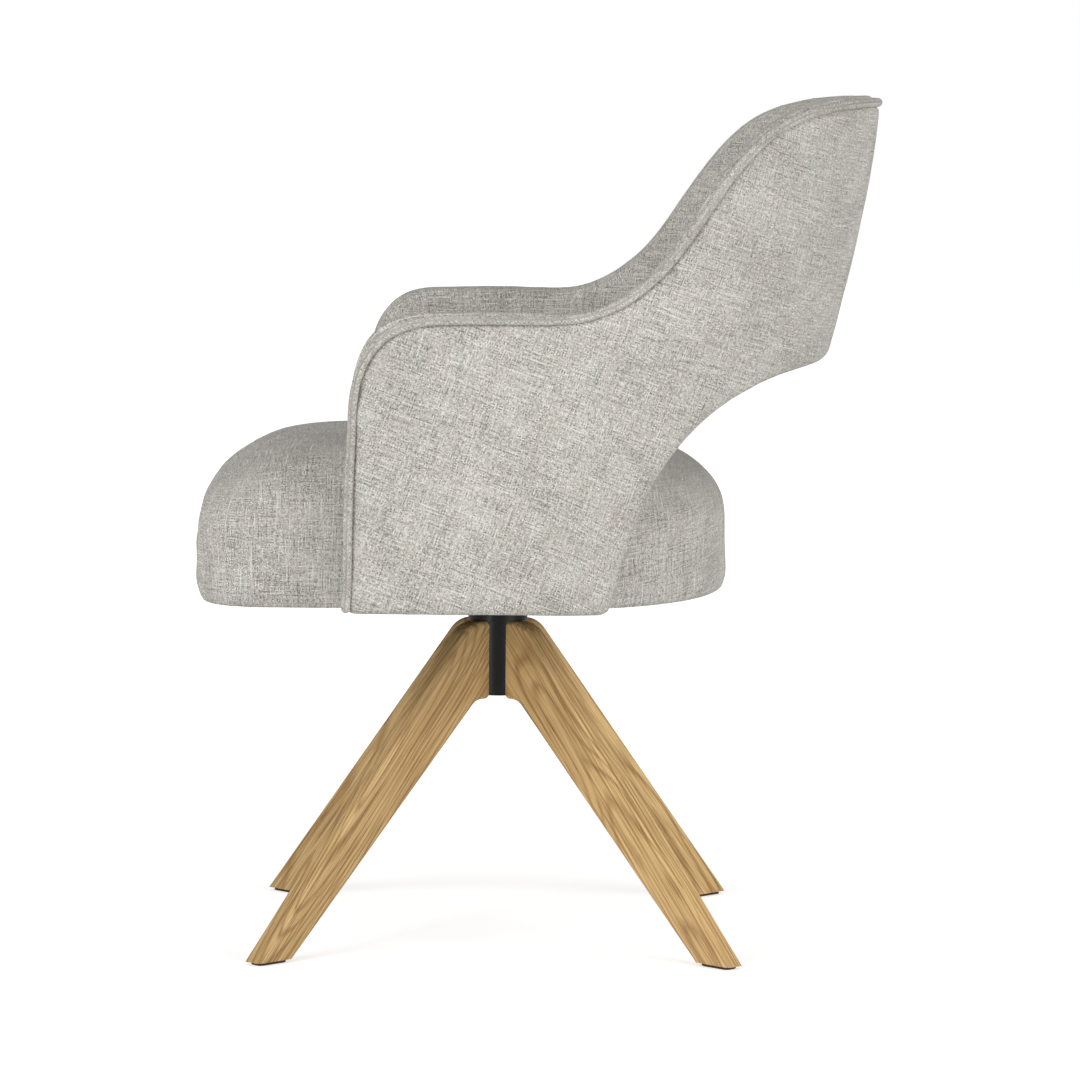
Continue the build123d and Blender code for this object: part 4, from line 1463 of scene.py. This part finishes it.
@dataclass
class Studio:
    """White floor, soft lights and the camera.

    Attributes:
        stand: Place of the camera.
        aim: Point in the middle of the picture.
        roll: Turn of the camera about its line of sight, in degrees.
        lens: Focal length in millimetres on a sensor 36 mm wide.
        floor_half: Half the width of the floor.
        floor_drop: The floor lies this far under the glides, so that the two don't flicker.
        floor_glow: The floor's own light for the camera, near the chair and far from it.
        floor_ring: Distances between which the near light becomes the far one.
        world_level: Light from all round.
        mirrored_level: The same light as glossy surfaces mirror it.
        lit_height: Height over the floor that the lamps shine at.
        lamps: The lamps.
    """

    stand: Vector = field(default_factory=lambda: Vector((5.010, AXIS_Y + 0.0284, 0.850)))
    aim: Vector = field(default_factory=lambda: Vector((0.0, AXIS_Y + 0.0406, 0.3837)))
    roll: float = 0.52
    lens: float = 171.4
    floor_half: float = 15.0
    floor_drop: float = 0.0003
    floor_glow: tuple[float, float] = (0.535, 0.80)
    floor_ring: tuple[float, float] = (0.35, 1.5)
    world_level: float = 0.46
    mirrored_level: float = 0.14
    lit_height: float = 0.4
    lamps: tuple[Lamp, ...] = (
        Lamp("key_lamp", (3.3, -3.0, 2.0), 2.4, 88.0),
        Lamp("fill_lamp", (2.9, 3.6, 1.5), 2.8, 104.0),
        Lamp("edge_lamp", (3.3, -2.2, 0.45), 0.6, 12.0),
    )

    def camera(self) -> None:
        """Stand the camera where the photograph was taken from."""
        view = (self.aim - self.stand).normalized()
        right = view.cross(Vector((0, 0, 1))).normalized()
        up = right.cross(view)
        turn = radians(self.roll)
        rolled = right * cos(turn) + up * sin(turn)
        turned = Matrix((rolled, rolled.cross(view), -view)).transposed().to_4x4()
        data = bpy.data.cameras.new("camera")
        data.sensor_width = 36.0
        data.lens = self.lens
        data.clip_end = 60.0
        camera = bpy.data.objects.new("camera", data)
        camera.matrix_world = Matrix.Translation(self.stand) @ turned
        bpy.context.scene.collection.objects.link(camera)
        bpy.context.scene.camera = camera

    def floor(self) -> None:
        """Lay a white floor that keeps the chair's shadow."""
        half = self.floor_half
        corners = [(-half, -half, 0.0), (half, -half, 0.0), (half, half, 0.0), (-half, half, 0.0)]
        mesh = bpy.data.meshes.new("floor")
        mesh.from_pydata(corners, [], [(0, 1, 2, 3)])
        floor = new_piece("floor", mesh)
        floor.location.z = -self.floor_drop
        material = bpy.data.materials.new("floor_white")
        book = blank_book(material)
        matte = book.add("ShaderNodeBsdfDiffuse", {"Color": (0.86, 0.86, 0.86, 1.0)})
        rays = book.add("ShaderNodeLightPath").outputs
        place = book.add("ShaderNodeTexCoord").outputs["Object"]
        away = book.add("ShaderNodeVectorMath", {0: place}, operation="LENGTH").outputs["Value"]
        level = book.mix(book.spread(away, *self.floor_ring), *self.floor_glow)
        lift = book.math("MULTIPLY", rays["Is Camera Ray"], level)
        glow = book.add("ShaderNodeEmission", {"Color": (1.0, 1.0, 1.0, 1.0), "Strength": lift})
        both = book.add("ShaderNodeAddShader", {0: matte.outputs[0], 1: glow.outputs[0]})
        book.add("ShaderNodeOutputMaterial", {"Surface": both.outputs[0]})
        dress(floor, material)

    def world(self) -> None:
        """Even light from all round, and a white background."""
        world = bpy.data.worlds.new("studio")
        bpy.context.scene.world = world
        book = blank_book(world)
        rays = book.add("ShaderNodeLightPath").outputs
        level = book.mix(rays["Is Glossy Ray"], self.world_level, self.mirrored_level)
        level = book.mix(rays["Is Camera Ray"], level, 1.0)
        sky = book.add("ShaderNodeBackground", {"Color": (1.0, 1.0, 1.0, 1.0), "Strength": level})
        book.add("ShaderNodeOutputWorld", {"Surface": sky.outputs[0]})

    def build(self) -> None:
        """Set up the floor, the lights and the camera."""
        bpy.context.scene.view_settings.view_transform = "Standard"
        self.world()
        self.floor()
        for lamp in self.lamps:
            lamp.hang(Vector((0, 0, self.lit_height)))
        self.camera()


def main() -> None:
    """Build the chair's looks in order, and report each piece."""
    logging.basicConfig(level=logging.INFO, format="%(message)s")
    patterns = Patterns()
    soft = [BackUpholstery(), SeatUpholstery()]
    for maker in soft:
        for piece in maker.build(patterns):
            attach(piece, Body.SEAT.value)
            counts = len(piece.data.vertices), len(piece.data.polygons)
            LOG.info("%s: %d vertices, %d faces", piece.name, *counts)
    OakLegs().dress_all(patterns)
    PlainParts().dress_all(patterns)
    Studio().build()


if __name__ == "__main__":
    main()
